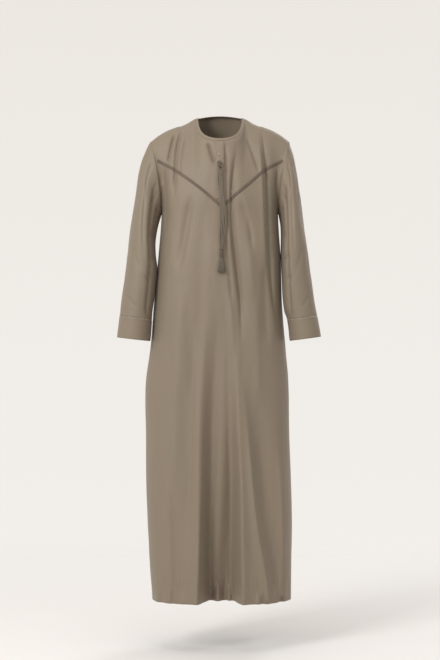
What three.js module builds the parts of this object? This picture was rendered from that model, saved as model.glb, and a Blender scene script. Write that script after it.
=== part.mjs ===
// Thobe robe as worn: a collarless ankle-length robe of light cloth, with a braid V over the
// chest, a placket with one snap, and a long tassel.
// Millimetres, +Z up. -Y is the front, +X is the wearer's left.
// The origin is the middle of the neck, level with the two sides of the neckline.

import * as THREE from 'three';

// ---------- driving dimensions ----------

const CLOTH = 1.5;            // wall of a sewn panel
const TRIM_CLOTH = 1.2;       // wall of braid and placket
const SEAM_GAP = 0.3;         // between two pieces at a seam
const ARMHOLE_GAP = 0.5;      // between a sleeve and its armhole
const LAY_LIFT = 0.45;        // from a panel to the placket that lies on it
const TRIM_LIFT = 1.25;       // from a panel to a braid, which rides over its small folds

const HEM_Z = -1440;
const ARMPIT_Z = -290;
const UPPER_ROWS = 8;         // armpit level to shoulder
const LOWER_ROWS = 12;        // hem to armpit level
const FRONT_COLUMNS = 44;
const BACK_COLUMNS = 22;
const NECK_SHARE = 3 / 11;    // share of a panel's columns that end on the neckline
const FULLNESS = 0.15;        // how far a section swells past an ellipse

const NECK = { halfWidth: 66, frontDrop: 70, frontReach: 92, backRise: 12, backReach: 60 };
const NECK_BAND_WIDTH = 9;
// How the cloth leaves the neckline, for each millimetre out along it.
const NECK_SPREAD = { sideways: 0.93, sideFall: 0.42, back: 0.95, backFall: 0.3, front: 0.4, frontFall: 0.9 };

const ARMHOLE = { tipX: 208, tipZ: -72, baseX: 175, baseZ: ARMPIT_Z, halfDepth: 56, hollow: 7 };
// The way the cloth faces there: towards front and back, outward, up at the shoulder, and what
// body and sleeve each add towards the armpit.
const ARMHOLE_FACING = {
  depth: 1.3, out: 0.55, up: 0.75, bodyOut: 0.45, bodyDown: 0.1, sleeveOut: -1.45, sleeveDown: 0.45,
};

// Handles of the curves over the chest and the back, at the armpit level and at the top.
const CURVE_FRONT = { startOut: 4, startRise: 0.4, endOut: 22, endDrop: -48 };
const CURVE_BACK = { startOut: 9, startRise: 0.4, endOut: 30, endDrop: -34 };
const CURVE_SHOULDER = { endOut: 62, endDrop: -16, reach: 1.9 };
const ARMHOLE_BLEND = 0.28;   // share of a panel's half that leads over to the armhole
const FOLD_FREE_EDGE = 0.14;  // the same share, kept free of folds beside a seam
const FOLD_FREE_TOP = 0.22;   // share of the upper part, kept free of folds at its top
const FOLD_EASE = { toHem: 0.45, start: 0.25, end: 0.3 };  // shares of a fold's length

const PLACKET = { halfWidth: 12, bottomZ: -251, topGap: 1.8, rows: 14 };
const TRIM_WIDTH = 8;
const TRIM_STEPS = 26;

// ---------- tables ----------

// Turns rows of bare values into rows with named columns.
function table(columns, rows) {
  const names = columns.split(' ');
  return rows.map((row) => Object.fromEntries(names.map((name, i) => [name, row[i]])));
}

// Seam line of the shoulder, neck to tip.
const SHOULDER = table('x z', [
  [66, 0],
  [110, -22],
  [133, -29],
  [176, -47],
  [208, -72],
]);

// Level sections of the body, armpit to hem: both side edges, and the reach to front and back.
const BODY = table('z right left front back', [
  [-290, -175, 174, -130, 122],
  [-430, -178, 181, -137, 124],
  [-560, -191, 187, -133, 130],
  [-680, -207, 195, -129, 137],
  [-800, -223, 205, -126, 142],
  [-950, -222, 208, -124, 146],
  [-1090, -221, 213, -124, 148],
  [-1210, -216, 216, -126, 149],
  [-1330, -210, 214, -129, 150],
  [-1440, -203, 213, -131, 150],
]);

// The front falls back between the legs: both walls of that recess, its depth, and the ridge
// that is left standing in its middle.
const RECESS = table('z rightWall leftWall depth ridgeX ridge', [
  [-560, -20, 36, 0, 24, 0],
  [-700, -33, 37, 12, 18, 7],
  [-930, -45, 41, 27, 8, 14],
  [-1110, -50, 48, 44, 0, 17],
  [-1290, -52, 49, 66, -8, 13],
  [-1440, -50, 50, 88, -12, 6],
]);
const RECESS_WALL = 17;
const RECESS_RIDGE_WIDTH = 21;

// Largest folds. xs are the fold's places at even steps from zTop down to zEnd. A positive rise
// is a ridge, a negative one a trough. A fold with fall 1 runs out at the hem.
const FRONT_FOLDS = table('zTop zEnd xs rise width fall', [
  [-600, HEM_Z, [-46, -60, -63, -58], 8, 16, 1],
  [-600, HEM_Z, [42, 50, 58, 62], 8, 14, 1],
  [-740, HEM_Z, [62, 85, 108, 146], 9, 11, 1],
  [-760, HEM_Z, [92, 118, 140, 176], -12, 25, 1],
  [-920, -1420, [161, 174, 176, 170], 7, 13, 1],
  [-80, -694, [50, 33, 53, 60, 62], -7, 9, 0],
  [-150, -694, [20, 22, 28, 34, 40], 4, 10, 0],
  [-60, -210, [-124, -132, -134], -5, 9, 0],
  [-50, -560, [132, 140, 143, 152, 170], -7, 10, 0],
  [-240, -440, [-86, -104, -124], -4, 14, 0],
]);
const BACK_FOLDS = table('zTop zEnd xs rise width fall', [
  [-300, HEM_Z, [-92, -104, -112, -118], -16, 22, 1],
  [-300, HEM_Z, [-58, -64, -66, -66], 9, 22, 1],
  [-420, HEM_Z, [-22, -20, -14, -8], -20, 22, 1],
  [-420, HEM_Z, [20, 28, 36, 40], 9, 20, 1],
  [-320, HEM_Z, [74, 86, 92, 96], -15, 22, 1],
  [-420, HEM_Z, [128, 140, 148, 152], 9, 22, 1],
  [-110, -560, [-104, -112, -126, -140], -6, 13, 0],
  [-120, -600, [98, 108, 124, 142], -6, 13, 0],
]);

// Rings of a sleeve, after the armhole: outer and inner point, middle and depth front to back.
// The last ring but one is the cuff seam, the last is the sleeve's open end.
const SLEEVE_RIGHT = table('outX outZ inX inZ midY depth', [
  [225, -104, 183, -316, -3, 122],
  [240, -150, 189, -344, -5, 138],
  [250, -208, 192, -376, -8, 150],
  [259, -270, 191, -412, -12, 156],
  [267, -335, 187, -452, -16, 152],
  [275, -400, 189, -496, -20, 145],
  [283, -465, 194, -540, -24, 136],
  [291, -530, 202, -580, -28, 124],
  [298, -592, 208, -606, -32, 114],
  [306, -657, 213, -668, -35, 106],
]);
const SLEEVE_LEFT = table('outX outZ inX inZ midY depth', [
  [218, -104, 180, -316, -3, 122],
  [228, -150, 182, -344, -5, 138],
  [236, -208, 184, -376, -8, 150],
  [244, -270, 186, -412, -12, 156],
  [252, -335, 188, -452, -16, 152],
  [261, -400, 190, -496, -20, 145],
  [270, -465, 193, -540, -24, 136],
  [280, -530, 198, -580, -28, 124],
  [289, -592, 204, -606, -32, 114],
  [300, -655, 211, -667, -35, 106],
]);

// Middle lines of the two braids, armhole to the point of the V.
const TRIM_RIGHT = table('x z', [
  [-186, -132],
  [-146, -155],
  [-107, -182],
  [-56, -221],
  [8, -277],
]);
const TRIM_LEFT = table('x z', [
  [186, -132],
  [137, -160],
  [88, -202],
  [37, -246],
  [11.5, -269],
]);

const SNAP = { x: -4, z: -119.5, radius: 3.6, topShare: 0.8, height: 1.8, sides: 16 };

// The tassel: its flat bundle of threads hangs from the knot over the placket.
const TASSEL_KNOT = { x: -1, y: -127.5, z: -152, tilt: 0.17, flatness: 0.62 };
const TASSEL_KNOT_PROFILE = [
  [4, -12], [5.5, -9], [6.5, -7], [4.5, -4], [7.5, -1], [5, 2], [8, 6], [5.5, 9], [3, 11],
];
const TASSEL_CORD = { halfWidth: 8.5, halfDepth: 3.5, sides: 10, steps: 12 };
const TASSEL_ROUTE = table('x y z', [
  [-1.5, -129.2, -165.5],
  [-1.2, -131.4, -178],
  [-0.5, -133.2, -194],
  [1, -134.8, -212],
  [3.2, -136.2, -230],
  [5.8, -137.5, -250],
  [7.6, -138.2, -272],
  [7.9, -138.8, -295],
  [7, -139.6, -320],
  [5.4, -140.6, -345],
  [4.3, -141.6, -372],
  [4, -142.6, -402],
]);
const TASSEL_HEAD = { radius: 6.3, endShare: 0.8, bevel: 2, length: 20, flatness: 0.9 };
const TASSEL_SKIRT = { topRadius: 5.6, halfWidth: 14, halfDepth: 6.6, length: 45, forward: 0.8, flare: 0.8 };
const TURNED_SIDES = 14;

// ---------- small maths ----------

const TINY = 1e-4;
const clamp01 = (t) => Math.min(1, Math.max(0, t));
const smooth = (t) => clamp01(t) ** 2 * (3 - 2 * clamp01(t));
const mix = (a, b, t) => a + (b - a) * t;

// Smooth value at t from 0 to 1 through evenly spaced values.
function through(values, t) {
  const at = clamp01(t) * (values.length - 1);
  const i = Math.min(values.length - 2, Math.floor(at));
  const f = at - i;
  const before = values[Math.max(0, i - 1)];
  const after = values[Math.min(values.length - 1, i + 2)];
  const slopeA = (values[i + 1] - before) / 2;
  const slopeB = (after - values[i]) / 2;
  const f2 = f * f;
  const f3 = f2 * f;
  return values[i] * (2 * f3 - 3 * f2 + 1) + slopeA * (f3 - 2 * f2 + f)
    + values[i + 1] * (3 * f2 - 2 * f3) + slopeB * (f3 - f2);
}

// Where a value of the key column lies in a table, as 0 to 1 over its even row steps.
function share(rows, key, value) {
  const up = rows[rows.length - 1][key] > rows[0][key] ? 1 : -1;
  let i = 0;
  while (i < rows.length - 2 && (value - rows[i + 1][key]) * up > 0) i += 1;
  const part = (value - rows[i][key]) / (rows[i + 1][key] - rows[i][key]);
  return (i + clamp01(part)) / (rows.length - 1);
}

function lookUp(rows, key, value, column) {
  return through(rows.map((row) => row[column]), share(rows, key, value));
}

// ---------- the body's surface ----------

// Height of the folds of one table at a place on a panel.
function foldHeight(folds, x, z) {
  let height = 0;
  for (const fold of folds) {
    const t = (fold.zTop - z) / (fold.zTop - fold.zEnd);
    if (t <= 0 || t > 1 + TINY) continue;
    const off = (x - through(fold.xs, t)) / fold.width;
    const along = fold.fall
      ? smooth(t / FOLD_EASE.toHem) : smooth(t / FOLD_EASE.start) * smooth((1 - t) / FOLD_EASE.end);
    height += fold.rise * along * Math.exp(-off * off);
  }
  return height;
}

function recessDepth(x, z) {
  if (z > RECESS[0].z) return 0;
  const at = (column) => lookUp(RECESS, 'z', z, column);
  const inside = smooth((x - at('rightWall') + RECESS_WALL) / (2 * RECESS_WALL))
    * smooth((at('leftWall') + RECESS_WALL - x) / (2 * RECESS_WALL));
  const off = (x - at('ridgeX')) / RECESS_RIDGE_WIDTH;
  return at('depth') * inside - at('ridge') * Math.exp(-off * off);
}

// A level section: u runs from the wearer's right side seam (0) to the left one (1).
function sectionPoint(back, u, z) {
  const at = (column) => lookUp(BODY, 'z', z, column);
  const halfWidth = (at('left') - at('right')) / 2;
  const c = -Math.cos(Math.PI * u);
  const s = Math.sin(Math.PI * u);
  const x = (at('left') + at('right')) / 2 + halfWidth * c * (1 + FULLNESS * s * s);
  const y = at(back ? 'back' : 'front') * s * (1 + FULLNESS * c * c);
  return new THREE.Vector3(x, y, z);
}

// Half of the neckline, from the side (turn 0) to the middle of the front or back (turn 1),
// out by a distance along the cloth.
function neckPoint(back, side, turn, out) {
  const c = Math.cos(turn * Math.PI / 2);
  const s = Math.sin(turn * Math.PI / 2);
  const x = side * (NECK.halfWidth + out * NECK_SPREAD.sideways) * c * (1 + FULLNESS * s * s);
  const slope = -NECK_SPREAD.sideFall * out * (1 - s);
  if (back) {
    const y = (NECK.backReach + out * NECK_SPREAD.back) * s * (1 + FULLNESS * c * c);
    return new THREE.Vector3(x, y, (NECK.backRise - out * NECK_SPREAD.backFall) * s * s + slope);
  }
  const y = -(NECK.frontReach + out * NECK_SPREAD.front) * s * (1 + FULLNESS * c * c);
  const fall = (NECK.frontDrop + out * NECK_SPREAD.frontFall) * s * (1 + FULLNESS * c * c);
  return new THREE.Vector3(x, y, slope - fall);
}

// The way the cloth faces at the neckline, which the panels and the neck band share.
function neckNormal(back, side, turn) {
  const step = 0.01;
  const out = neckPoint(back, side, turn, NECK_BAND_WIDTH).sub(neckPoint(back, side, turn, 0));
  const round = neckPoint(back, side, Math.min(1, turn + step), NECK_BAND_WIDTH)
    .sub(neckPoint(back, side, Math.max(0, turn - step), NECK_BAND_WIDTH));
  const normal = round.cross(out).normalize();
  if (turn === 0) normal.y = 0;
  if (turn === 1) normal.x = 0;
  return normal.z < 0 ? normal.negate() : normal;
}

// The seam round one armhole: angle 0 is the shoulder's tip, pi is the armpit.
function armholePoint(back, side, angle) {
  const c = Math.cos(angle);
  const s = Math.sin(angle);
  const x = mix(ARMHOLE.baseX, ARMHOLE.tipX, (1 + c) / 2) - ARMHOLE.hollow * s * s;
  const z = mix(ARMHOLE.baseZ, ARMHOLE.tipZ, (1 + c) / 2);
  return new THREE.Vector3(side * x, (back ? 1 : -1) * ARMHOLE.halfDepth * s, z);
}

// The way the cloth faces along that seam. Body and sleeve face alike from the shoulder to the
// middle of the armhole, and part from there to the armpit, where they lie back to back.
function armholeNormal(back, side, angle, sleeve) {
  const up = Math.max(0, Math.cos(angle));
  const down = Math.max(0, -Math.cos(angle));
  const { depth, out, bodyOut, bodyDown, sleeveOut, sleeveDown } = ARMHOLE_FACING;
  return new THREE.Vector3(
    side * (out + (sleeve ? sleeveOut : bodyOut) * down),
    (back ? depth : -depth) * Math.sin(angle),
    ARMHOLE_FACING.up * up - (sleeve ? sleeveDown : bodyDown) * down,
  ).normalize();
}

// Where a panel's column ends at the top: on the shoulder seam or on the neckline.
function topPoint(back, side, edge) {
  if (edge <= NECK_SHARE) return neckPoint(back, side, 1 - edge / NECK_SHARE, NECK_BAND_WIDTH);
  const neckSide = neckPoint(back, 1, 0, NECK_BAND_WIDTH).x;
  const x = mix(neckSide, ARMHOLE.tipX, (edge - NECK_SHARE) / (1 - NECK_SHARE));
  return new THREE.Vector3(side * x, 0, lookUp(SHOULDER, 'x', x, 'z'));
}

// Above the armpits each column is one Bezier curve, blended to the armhole seam at the edge.
function upperPoint(back, u, v) {
  const facing = back ? 1 : -1;
  const side = u < 0.5 ? -1 : 1;
  const edge = Math.abs(2 * u - 1);
  const start = sectionPoint(back, u, ARMPIT_Z);
  const end = topPoint(back, side, edge);
  const rise = end.z - start.z;
  const { startOut, startRise, endOut, endDrop } = back ? CURVE_BACK : CURVE_FRONT;
  const overShoulder = smooth(edge / (NECK_SHARE * CURVE_SHOULDER.reach));
  const startHandle = new THREE.Vector3(0, facing * startOut * (1 - edge), rise * startRise);
  const endHandle = new THREE.Vector3(
    0,
    facing * mix(endOut, CURVE_SHOULDER.endOut, overShoulder),
    mix(endDrop, CURVE_SHOULDER.endDrop, overShoulder),
  );
  const curve = new THREE.CubicBezierCurve3(
    start, start.clone().add(startHandle), end.clone().add(endHandle), end);
  const point = curve.getPoint(v);
  const atArmhole = smooth((edge - 1 + ARMHOLE_BLEND) / ARMHOLE_BLEND);
  return point.lerp(armholePoint(back, side, Math.PI * (1 - v)), atArmhole);
}

// A panel's outer surface: v runs from the hem (0) over the armpit level (1) to the top (2).
function panelPoint(back, u, v) {
  const edge = Math.abs(2 * u - 1);
  const lower = v <= 1;
  const point = lower ? sectionPoint(back, u, mix(HEM_Z, ARMPIT_Z, v)) : upperPoint(back, u, v - 1);
  const facing = back ? 1 : -1;
  const inFromEdge = smooth((1 - edge) / FOLD_FREE_EDGE);
  const downFromTop = smooth((2 - v) / FOLD_FREE_TOP);
  const folds = foldHeight(back ? BACK_FOLDS : FRONT_FOLDS, point.x, point.z);
  const recess = back ? 0 : recessDepth(point.x, point.z);
  point.y += facing * (folds * inFromEdge * downFromTop - recess);
  return point;
}

// ---------- solids ----------

// A closed wall under a grid of points on its outer face. Rows run along, columns across; a
// tube's columns close on themselves. adjust may set the direction in which the wall thickens.
function wall(grid, thickness, { tube = false, adjust = null } = {}) {
  const rows = grid.length;
  const columns = grid[0].length;
  const pick = (i, j) => grid[i][tube ? (j + columns) % columns : Math.min(columns - 1, Math.max(0, j))];
  const outer = [];
  const inner = [];
  for (let i = 0; i < rows; i += 1) {
    for (let j = 0; j < columns; j += 1) {
      const along = grid[Math.min(rows - 1, i + 1)][j].clone().sub(grid[Math.max(0, i - 1)][j]);
      const across = pick(i, j + 1).clone().sub(pick(i, j - 1));
      const normal = across.cross(along).normalize();
      if (adjust) adjust(normal, i, j, rows, columns);
      outer.push(grid[i][j]);
      inner.push(grid[i][j].clone().addScaledVector(normal.normalize(), -thickness));
    }
  }
  const points = [...outer, ...inner];
  const under = outer.length;
  const at = (i, j) => i * columns + (j % columns);
  const index = [];
  const quad = (a, b, c, d) => index.push(a, b, c, a, c, d);
  const spans = tube ? columns : columns - 1;
  for (let i = 0; i < rows - 1; i += 1) {
    for (let j = 0; j < spans; j += 1) {
      const [a, b, c, d] = [at(i, j), at(i, j + 1), at(i + 1, j + 1), at(i + 1, j)];
      quad(a, b, c, d);
      quad(under + a, under + d, under + c, under + b);
    }
  }
  for (let j = 0; j < spans; j += 1) {
    const top = rows - 1;
    quad(at(0, j), under + at(0, j), under + at(0, j + 1), at(0, j + 1));
    quad(at(top, j), at(top, j + 1), under + at(top, j + 1), under + at(top, j));
  }
  if (!tube) {
    const last = columns - 1;
    for (let i = 0; i < rows - 1; i += 1) {
      quad(at(i, 0), at(i + 1, 0), under + at(i + 1, 0), under + at(i, 0));
      quad(at(i, last), under + at(i, last), under + at(i + 1, last), at(i + 1, last));
    }
  }
  const geometry = new THREE.BufferGeometry().setFromPoints(points);
  geometry.setIndex(index);
  geometry.computeVertexNormals();
  return geometry;
}

// ---------- materials ----------

const clothMaterial = new THREE.MeshStandardMaterial({ color: 0x8e7f70, roughness: 0.55, metalness: 0 });
const bandMaterial = new THREE.MeshStandardMaterial({ color: 0x8a7b6c, roughness: 0.55, metalness: 0 });
const braidMaterial = new THREE.MeshStandardMaterial({ color: 0x6c5e50, roughness: 0.6, metalness: 0 });
const tasselMaterial = new THREE.MeshStandardMaterial({ color: 0x74665a, roughness: 0.5, metalness: 0 });
const snapMaterial = new THREE.MeshStandardMaterial({ color: 0xc9c2b6, roughness: 0.25, metalness: 0.9 });

const group = new THREE.Group();

function add(name, geometry, material) {
  const mesh = new THREE.Mesh(geometry, material);
  mesh.name = name;
  group.add(mesh);
  return mesh;
}

// ---------- panels ----------

const upTo = (count) => Array.from({ length: count + 1 }, (_, i) => i);

// Side and shoulder seams sit half a gap from the plane between front and back.
function panelGrid(back, columns) {
  const facing = back ? 1 : -1;
  const levels = [
    ...upTo(LOWER_ROWS).map((i) => i / LOWER_ROWS),
    ...upTo(UPPER_ROWS).slice(1).map((i) => 1 + i / UPPER_ROWS),
  ];
  return levels.map((v) => upTo(columns).map((j) => {
    const point = panelPoint(back, j / columns, v);
    if (Math.abs(point.y) < SEAM_GAP / 2) point.y = facing * SEAM_GAP / 2;
    return point;
  }));
}

// Front and back thicken in the seam plane where they meet, so that their edges stay apart, and
// the neckline thickens as the neck band does.
function panelFacing(back) {
  return (normal, i, j, rows, columns) => {
    const atSide = (j === 0 || j === columns - 1) && i <= LOWER_ROWS;
    const across = 2 * j / (columns - 1) - 1;
    const edge = Math.abs(across);
    const side = Math.sign(back ? -across : across) || 1;
    const atTop = i === rows - 1;
    if ((j === 0 || j === columns - 1) && i >= LOWER_ROWS) {
      const angle = Math.PI * (1 - (i - LOWER_ROWS) / UPPER_ROWS);
      normal.copy(armholeNormal(back, side, angle, false));
    }
    if (atTop && edge < NECK_SHARE + TINY) {
      normal.copy(neckNormal(back, side, clamp01(1 - edge / NECK_SHARE)));
    }
    if (atSide || (atTop && edge >= NECK_SHARE - TINY)) normal.y = 0;
  };
}

function makePanel(name, back, columns) {
  const grid = panelGrid(back, columns);
  if (back) grid.forEach((row) => row.reverse());
  return add(name, wall(grid, CLOTH, { adjust: panelFacing(back) }), clothMaterial);
}

const frontPanel = makePanel('front_panel', false, FRONT_COLUMNS);
makePanel('back_panel', true, BACK_COLUMNS);

// ---------- neck band ----------

function makeNeckBand() {
  const stops = [];
  for (const back of [false, true]) {
    const columns = back ? BACK_COLUMNS : FRONT_COLUMNS;
    const half = Math.round(columns * NECK_SHARE / 2);
    for (let k = -half; k < half; k += 1) {
      const side = back ? -Math.sign(k || 1) : Math.sign(k || 1);
      stops.push({ back, side, turn: 1 - Math.abs(k) / half });
    }
  }
  const outs = [NECK_BAND_WIDTH - SEAM_GAP, NECK_BAND_WIDTH / 2, 0];
  const grid = outs.map((out) => stops.map(({ back, side, turn }) => neckPoint(back, side, turn, out)));
  const facing = (normal, i, j) => normal.copy(neckNormal(stops[j].back, stops[j].side, stops[j].turn));
  add('neck_band', wall(grid, CLOTH, { tube: true, adjust: facing }), bandMaterial);
}
makeNeckBand();

// ---------- sleeves and cuffs ----------

// One ring of a sleeve, starting at the outer point and passing over the front.
function sleeveRing(side, row) {
  const half = { x: (row.outX - row.inX) / 2, z: (row.outZ - row.inZ) / 2 };
  const middle = { x: (row.outX + row.inX) / 2, z: (row.outZ + row.inZ) / 2 };
  return upTo(2 * UPPER_ROWS - 1).map((k) => {
    const angle = k / UPPER_ROWS * Math.PI;
    const c = Math.cos(angle);
    const s = Math.sin(angle);
    return new THREE.Vector3(
      side * (middle.x + half.x * c), row.midY - row.depth / 2 * s, middle.z + half.z * c);
  });
}

function armholeRing(side) {
  return upTo(2 * UPPER_ROWS - 1).map((k) => {
    const back = k > UPPER_ROWS;
    const angle = (back ? 2 * UPPER_ROWS - k : k) / UPPER_ROWS * Math.PI;
    const point = armholePoint(back, side, angle);
    point.x += side * ARMHOLE_GAP;
    return point;
  });
}

function makeSleeve(name, side, rows) {
  const rings = [armholeRing(side), ...rows.map((row) => sleeveRing(side, row))];
  const cuffEnd = rings.pop();
  const cuffSeam = rings[rings.length - 1];
  const cuff = [0, 0.5, 1].map((t) => cuffSeam.map((point, k) => {
    const apart = cuffEnd[k].clone().sub(point);
    const start = point.clone().addScaledVector(apart, SEAM_GAP / apart.length());
    return start.lerp(cuffEnd[k], t);
  }));
  const facingOut = (grid) => (side < 0 ? grid.map((ring) => [...ring].reverse()) : grid);
  const seamFacing = (normal, i, j, _, columns) => {
    if (i > 0) return;
    const k = side < 0 ? columns - 1 - j : j;
    const back = k > UPPER_ROWS;
    const angle = (back ? 2 * UPPER_ROWS - k : k) / UPPER_ROWS * Math.PI;
    normal.copy(armholeNormal(back, side, angle, true));
  };
  const sleeve = wall(facingOut(rings), CLOTH, { tube: true, adjust: seamFacing });
  add(`sleeve_${name}`, sleeve, clothMaterial);
  add(`cuff_${name}`, wall(facingOut(cuff), CLOTH, { tube: true }), bandMaterial);
}
makeSleeve('right', -1, SLEEVE_RIGHT);
makeSleeve('left', 1, SLEEVE_LEFT);

// ---------- what lies on the front ----------

// The point of the front panel straight behind a place in front of it, and the way it faces.
const FAR_IN_FRONT = -1000;
const FACING_STEP = 3;
const caster = new THREE.Raycaster();
function onFront(x, z) {
  caster.set(new THREE.Vector3(x, FAR_IN_FRONT, z), new THREE.Vector3(0, 1, 0));
  return caster.intersectObject(frontPanel)[0].point;
}
function frontFacing(x, z) {
  const across = onFront(x + FACING_STEP, z).sub(onFront(x - FACING_STEP, z));
  const up = onFront(x, z).sub(onFront(x, z - FACING_STEP));
  return across.cross(up).normalize();
}
function above(x, z, distance) {
  return onFront(x, z).addScaledVector(frontFacing(x, z), distance);
}

// A strip laid on the front panel: a grid of places (x, z), moved out from the panel.
function layOnFront(name, places, lift, material) {
  const grid = places.map((row) => row.map(([x, z]) => above(x, z, lift + TRIM_CLOTH)));
  add(name, wall(grid, TRIM_CLOTH), material);
}

function makePlacket() {
  const topZ = neckPoint(false, 1, 1, NECK_BAND_WIDTH).z - PLACKET.topGap;
  const places = upTo(PLACKET.rows).map((i) => [-1, -0.5, 0, 0.5, 1].map((across) => [
    across * PLACKET.halfWidth, mix(PLACKET.bottomZ, topZ, i / PLACKET.rows)]));
  layOnFront('placket', places, LAY_LIFT, clothMaterial);
}
makePlacket();

function makeTrim(name, rows) {
  const line = new THREE.CatmullRomCurve3(rows.map(({ x, z }) => new THREE.Vector3(x, 0, z)));
  const places = upTo(TRIM_STEPS).map((i) => {
    const middle = line.getPointAt(i / TRIM_STEPS);
    const along = line.getTangentAt(i / TRIM_STEPS);
    return [-0.5, 0, 0.5].map((across) => [
      middle.x + along.z * TRIM_WIDTH * across, middle.z - along.x * TRIM_WIDTH * across]);
  });
  layOnFront(name, places, TRIM_LIFT, braidMaterial);
}
makeTrim('trim_right', TRIM_RIGHT);
makeTrim('trim_left', TRIM_LEFT);

function makeSnap() {
  const { radius, height } = SNAP;
  const cap = new THREE.CylinderGeometry(radius * SNAP.topShare, radius, height, SNAP.sides);
  const snap = add('snap', cap, snapMaterial);
  const out = 2 * LAY_LIFT + TRIM_CLOTH + height / 2;
  snap.position.copy(above(SNAP.x, SNAP.z, out));
  snap.quaternion.setFromUnitVectors(new THREE.Vector3(0, 1, 0), frontFacing(SNAP.x, SNAP.z));
}
makeSnap();

// ---------- tassel ----------

// A solid turned about Z from [radius, height] pairs, closed on the axis, and flattened in Y.
function turned(profile, flatness) {
  const ends = [[0, profile[0][1]], ...profile, [0, profile[profile.length - 1][1]]];
  const lathe = new THREE.LatheGeometry(ends.map(([r, h]) => new THREE.Vector2(r, h)), TURNED_SIDES);
  return lathe.rotateX(Math.PI / 2).scale(1, flatness, 1);
}

function makeTassel() {
  const knot = add('tassel_knot', turned(TASSEL_KNOT_PROFILE, TASSEL_KNOT.flatness), braidMaterial);
  knot.position.set(TASSEL_KNOT.x, TASSEL_KNOT.y, TASSEL_KNOT.z);
  knot.rotation.x = -TASSEL_KNOT.tilt;

  const { halfWidth, halfDepth, sides, steps } = TASSEL_CORD;
  const section = new THREE.Shape(upTo(sides - 1).map((k) => {
    const angle = 2 * Math.PI * k / sides;
    return new THREE.Vector2(halfWidth * Math.cos(angle), halfDepth * Math.sin(angle));
  }));
  const route = new THREE.CatmullRomCurve3(TASSEL_ROUTE.map(({ x, y, z }) => new THREE.Vector3(x, y, z)));
  const cord = new THREE.ExtrudeGeometry(section, { steps, extrudePath: route, bevelEnabled: false });
  add('tassel_cord', cord, tasselMaterial);

  const end = TASSEL_ROUTE[TASSEL_ROUTE.length - 1];
  const { radius, length, bevel } = TASSEL_HEAD;
  const endRadius = radius * TASSEL_HEAD.endShare;
  const top = end.z - 2 * SEAM_GAP;
  const headProfile = [[endRadius, -length], [radius, bevel - length], [radius, -bevel], [endRadius, 0]];
  const head = add('tassel_head', turned(headProfile, TASSEL_HEAD.flatness), braidMaterial);
  head.position.set(end.x, end.y, top);

  const skirt = TASSEL_SKIRT;
  const flare = (t) => [mix(skirt.topRadius, skirt.halfWidth, t ** skirt.flare), -skirt.length * t];
  const skirtProfile = [1, 0.75, 0.5, 0.25, 0].map(flare);
  const flatness = skirt.halfDepth / skirt.halfWidth;
  const fringe = add('tassel_skirt', turned(skirtProfile, flatness), tasselMaterial);
  fringe.position.set(end.x, end.y - skirt.forward, top - length - SEAM_GAP);
}
makeTassel();

export default group;
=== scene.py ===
"""Thobe robe as worn: panels, sleeves, braid V, placket and tassel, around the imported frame."""
import math
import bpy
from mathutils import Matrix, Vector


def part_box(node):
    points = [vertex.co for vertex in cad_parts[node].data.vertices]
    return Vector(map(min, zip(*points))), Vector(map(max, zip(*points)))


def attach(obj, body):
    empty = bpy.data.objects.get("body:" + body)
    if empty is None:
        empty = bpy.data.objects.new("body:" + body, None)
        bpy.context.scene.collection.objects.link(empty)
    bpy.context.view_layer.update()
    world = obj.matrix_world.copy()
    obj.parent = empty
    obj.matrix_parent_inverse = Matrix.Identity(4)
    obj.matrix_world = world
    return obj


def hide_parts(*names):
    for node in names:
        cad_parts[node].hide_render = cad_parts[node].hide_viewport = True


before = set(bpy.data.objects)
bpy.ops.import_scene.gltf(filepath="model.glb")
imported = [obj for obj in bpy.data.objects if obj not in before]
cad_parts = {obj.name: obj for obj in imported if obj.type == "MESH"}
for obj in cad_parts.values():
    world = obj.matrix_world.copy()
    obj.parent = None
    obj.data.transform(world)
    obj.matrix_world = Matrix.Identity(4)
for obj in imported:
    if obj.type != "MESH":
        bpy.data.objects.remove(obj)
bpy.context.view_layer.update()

from types import SimpleNamespace as Named

import bmesh
import bpy
import numpy as np
from bpy.props import FloatProperty, FloatVectorProperty, PointerProperty
from mathutils import Matrix, Vector, noise
from mathutils.bvhtree import BVHTree

bl_info = {
    "name": "Thobe robe",
    "version": (1, 0, 0),
    "blender": (4, 5, 0),
    "location": "3D View > Sidebar > Robe",
    "description": "Builds a worn thobe robe with its braid, placket and tassel",
    "category": "Add Mesh",
}

# ---------- the cut: sizes in metres, repeated from the part's source ----------

HEM_Z = -1.440
ARMPIT_Z = -0.290
NECK_SHARE = 3 / 11
FULLNESS = 0.15
NECK = Named(half_width=0.066, front_drop=0.070, front_reach=0.092, back_rise=0.012,
             back_reach=0.060)
NECK_BAND_WIDTH = 0.009
NECK_CROWN = 0.0003     # how far the band's middle stands up
NECK_POINTS = 48        # round the neckline
SEAM_GAP = 0.0003
# How the cloth leaves the neckline, for each metre out along it.
NECK_SPREAD = Named(sideways=0.93, side_fall=0.42, back=0.95, back_fall=0.3, front=0.4,
                    front_fall=0.9)
ARMHOLE = Named(tip_x=0.208, tip_z=-0.072, base_x=0.175, half_depth=0.056, hollow=0.007)
# Handles of the curves over the chest and the back, at the armpit level and at the top.
CURVE_FRONT = Named(start_out=0.004, end_out=0.022, end_drop=-0.048)
CURVE_BACK = Named(start_out=0.009, end_out=0.030, end_drop=-0.034)
CURVE_SHOULDER = Named(end_out=0.062, end_drop=-0.016, reach=1.9)
CURVE_RISE = 0.4
ARMHOLE_BLEND = 0.28    # share of a panel's half that leads over to the armhole
FOLD_FREE_EDGE = 0.14   # the same share, kept free of folds beside a seam
FOLD_FREE_TOP = 0.16    # share of the upper part, kept free of folds at its top
NEAR_HEM = 0.12         # share of the lower part whose cut edges are turned in level

PLACKET = Named(half_width=0.012, bottom_z=-0.251, cloth=0.0006, stitch_x=0.0102)
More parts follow.
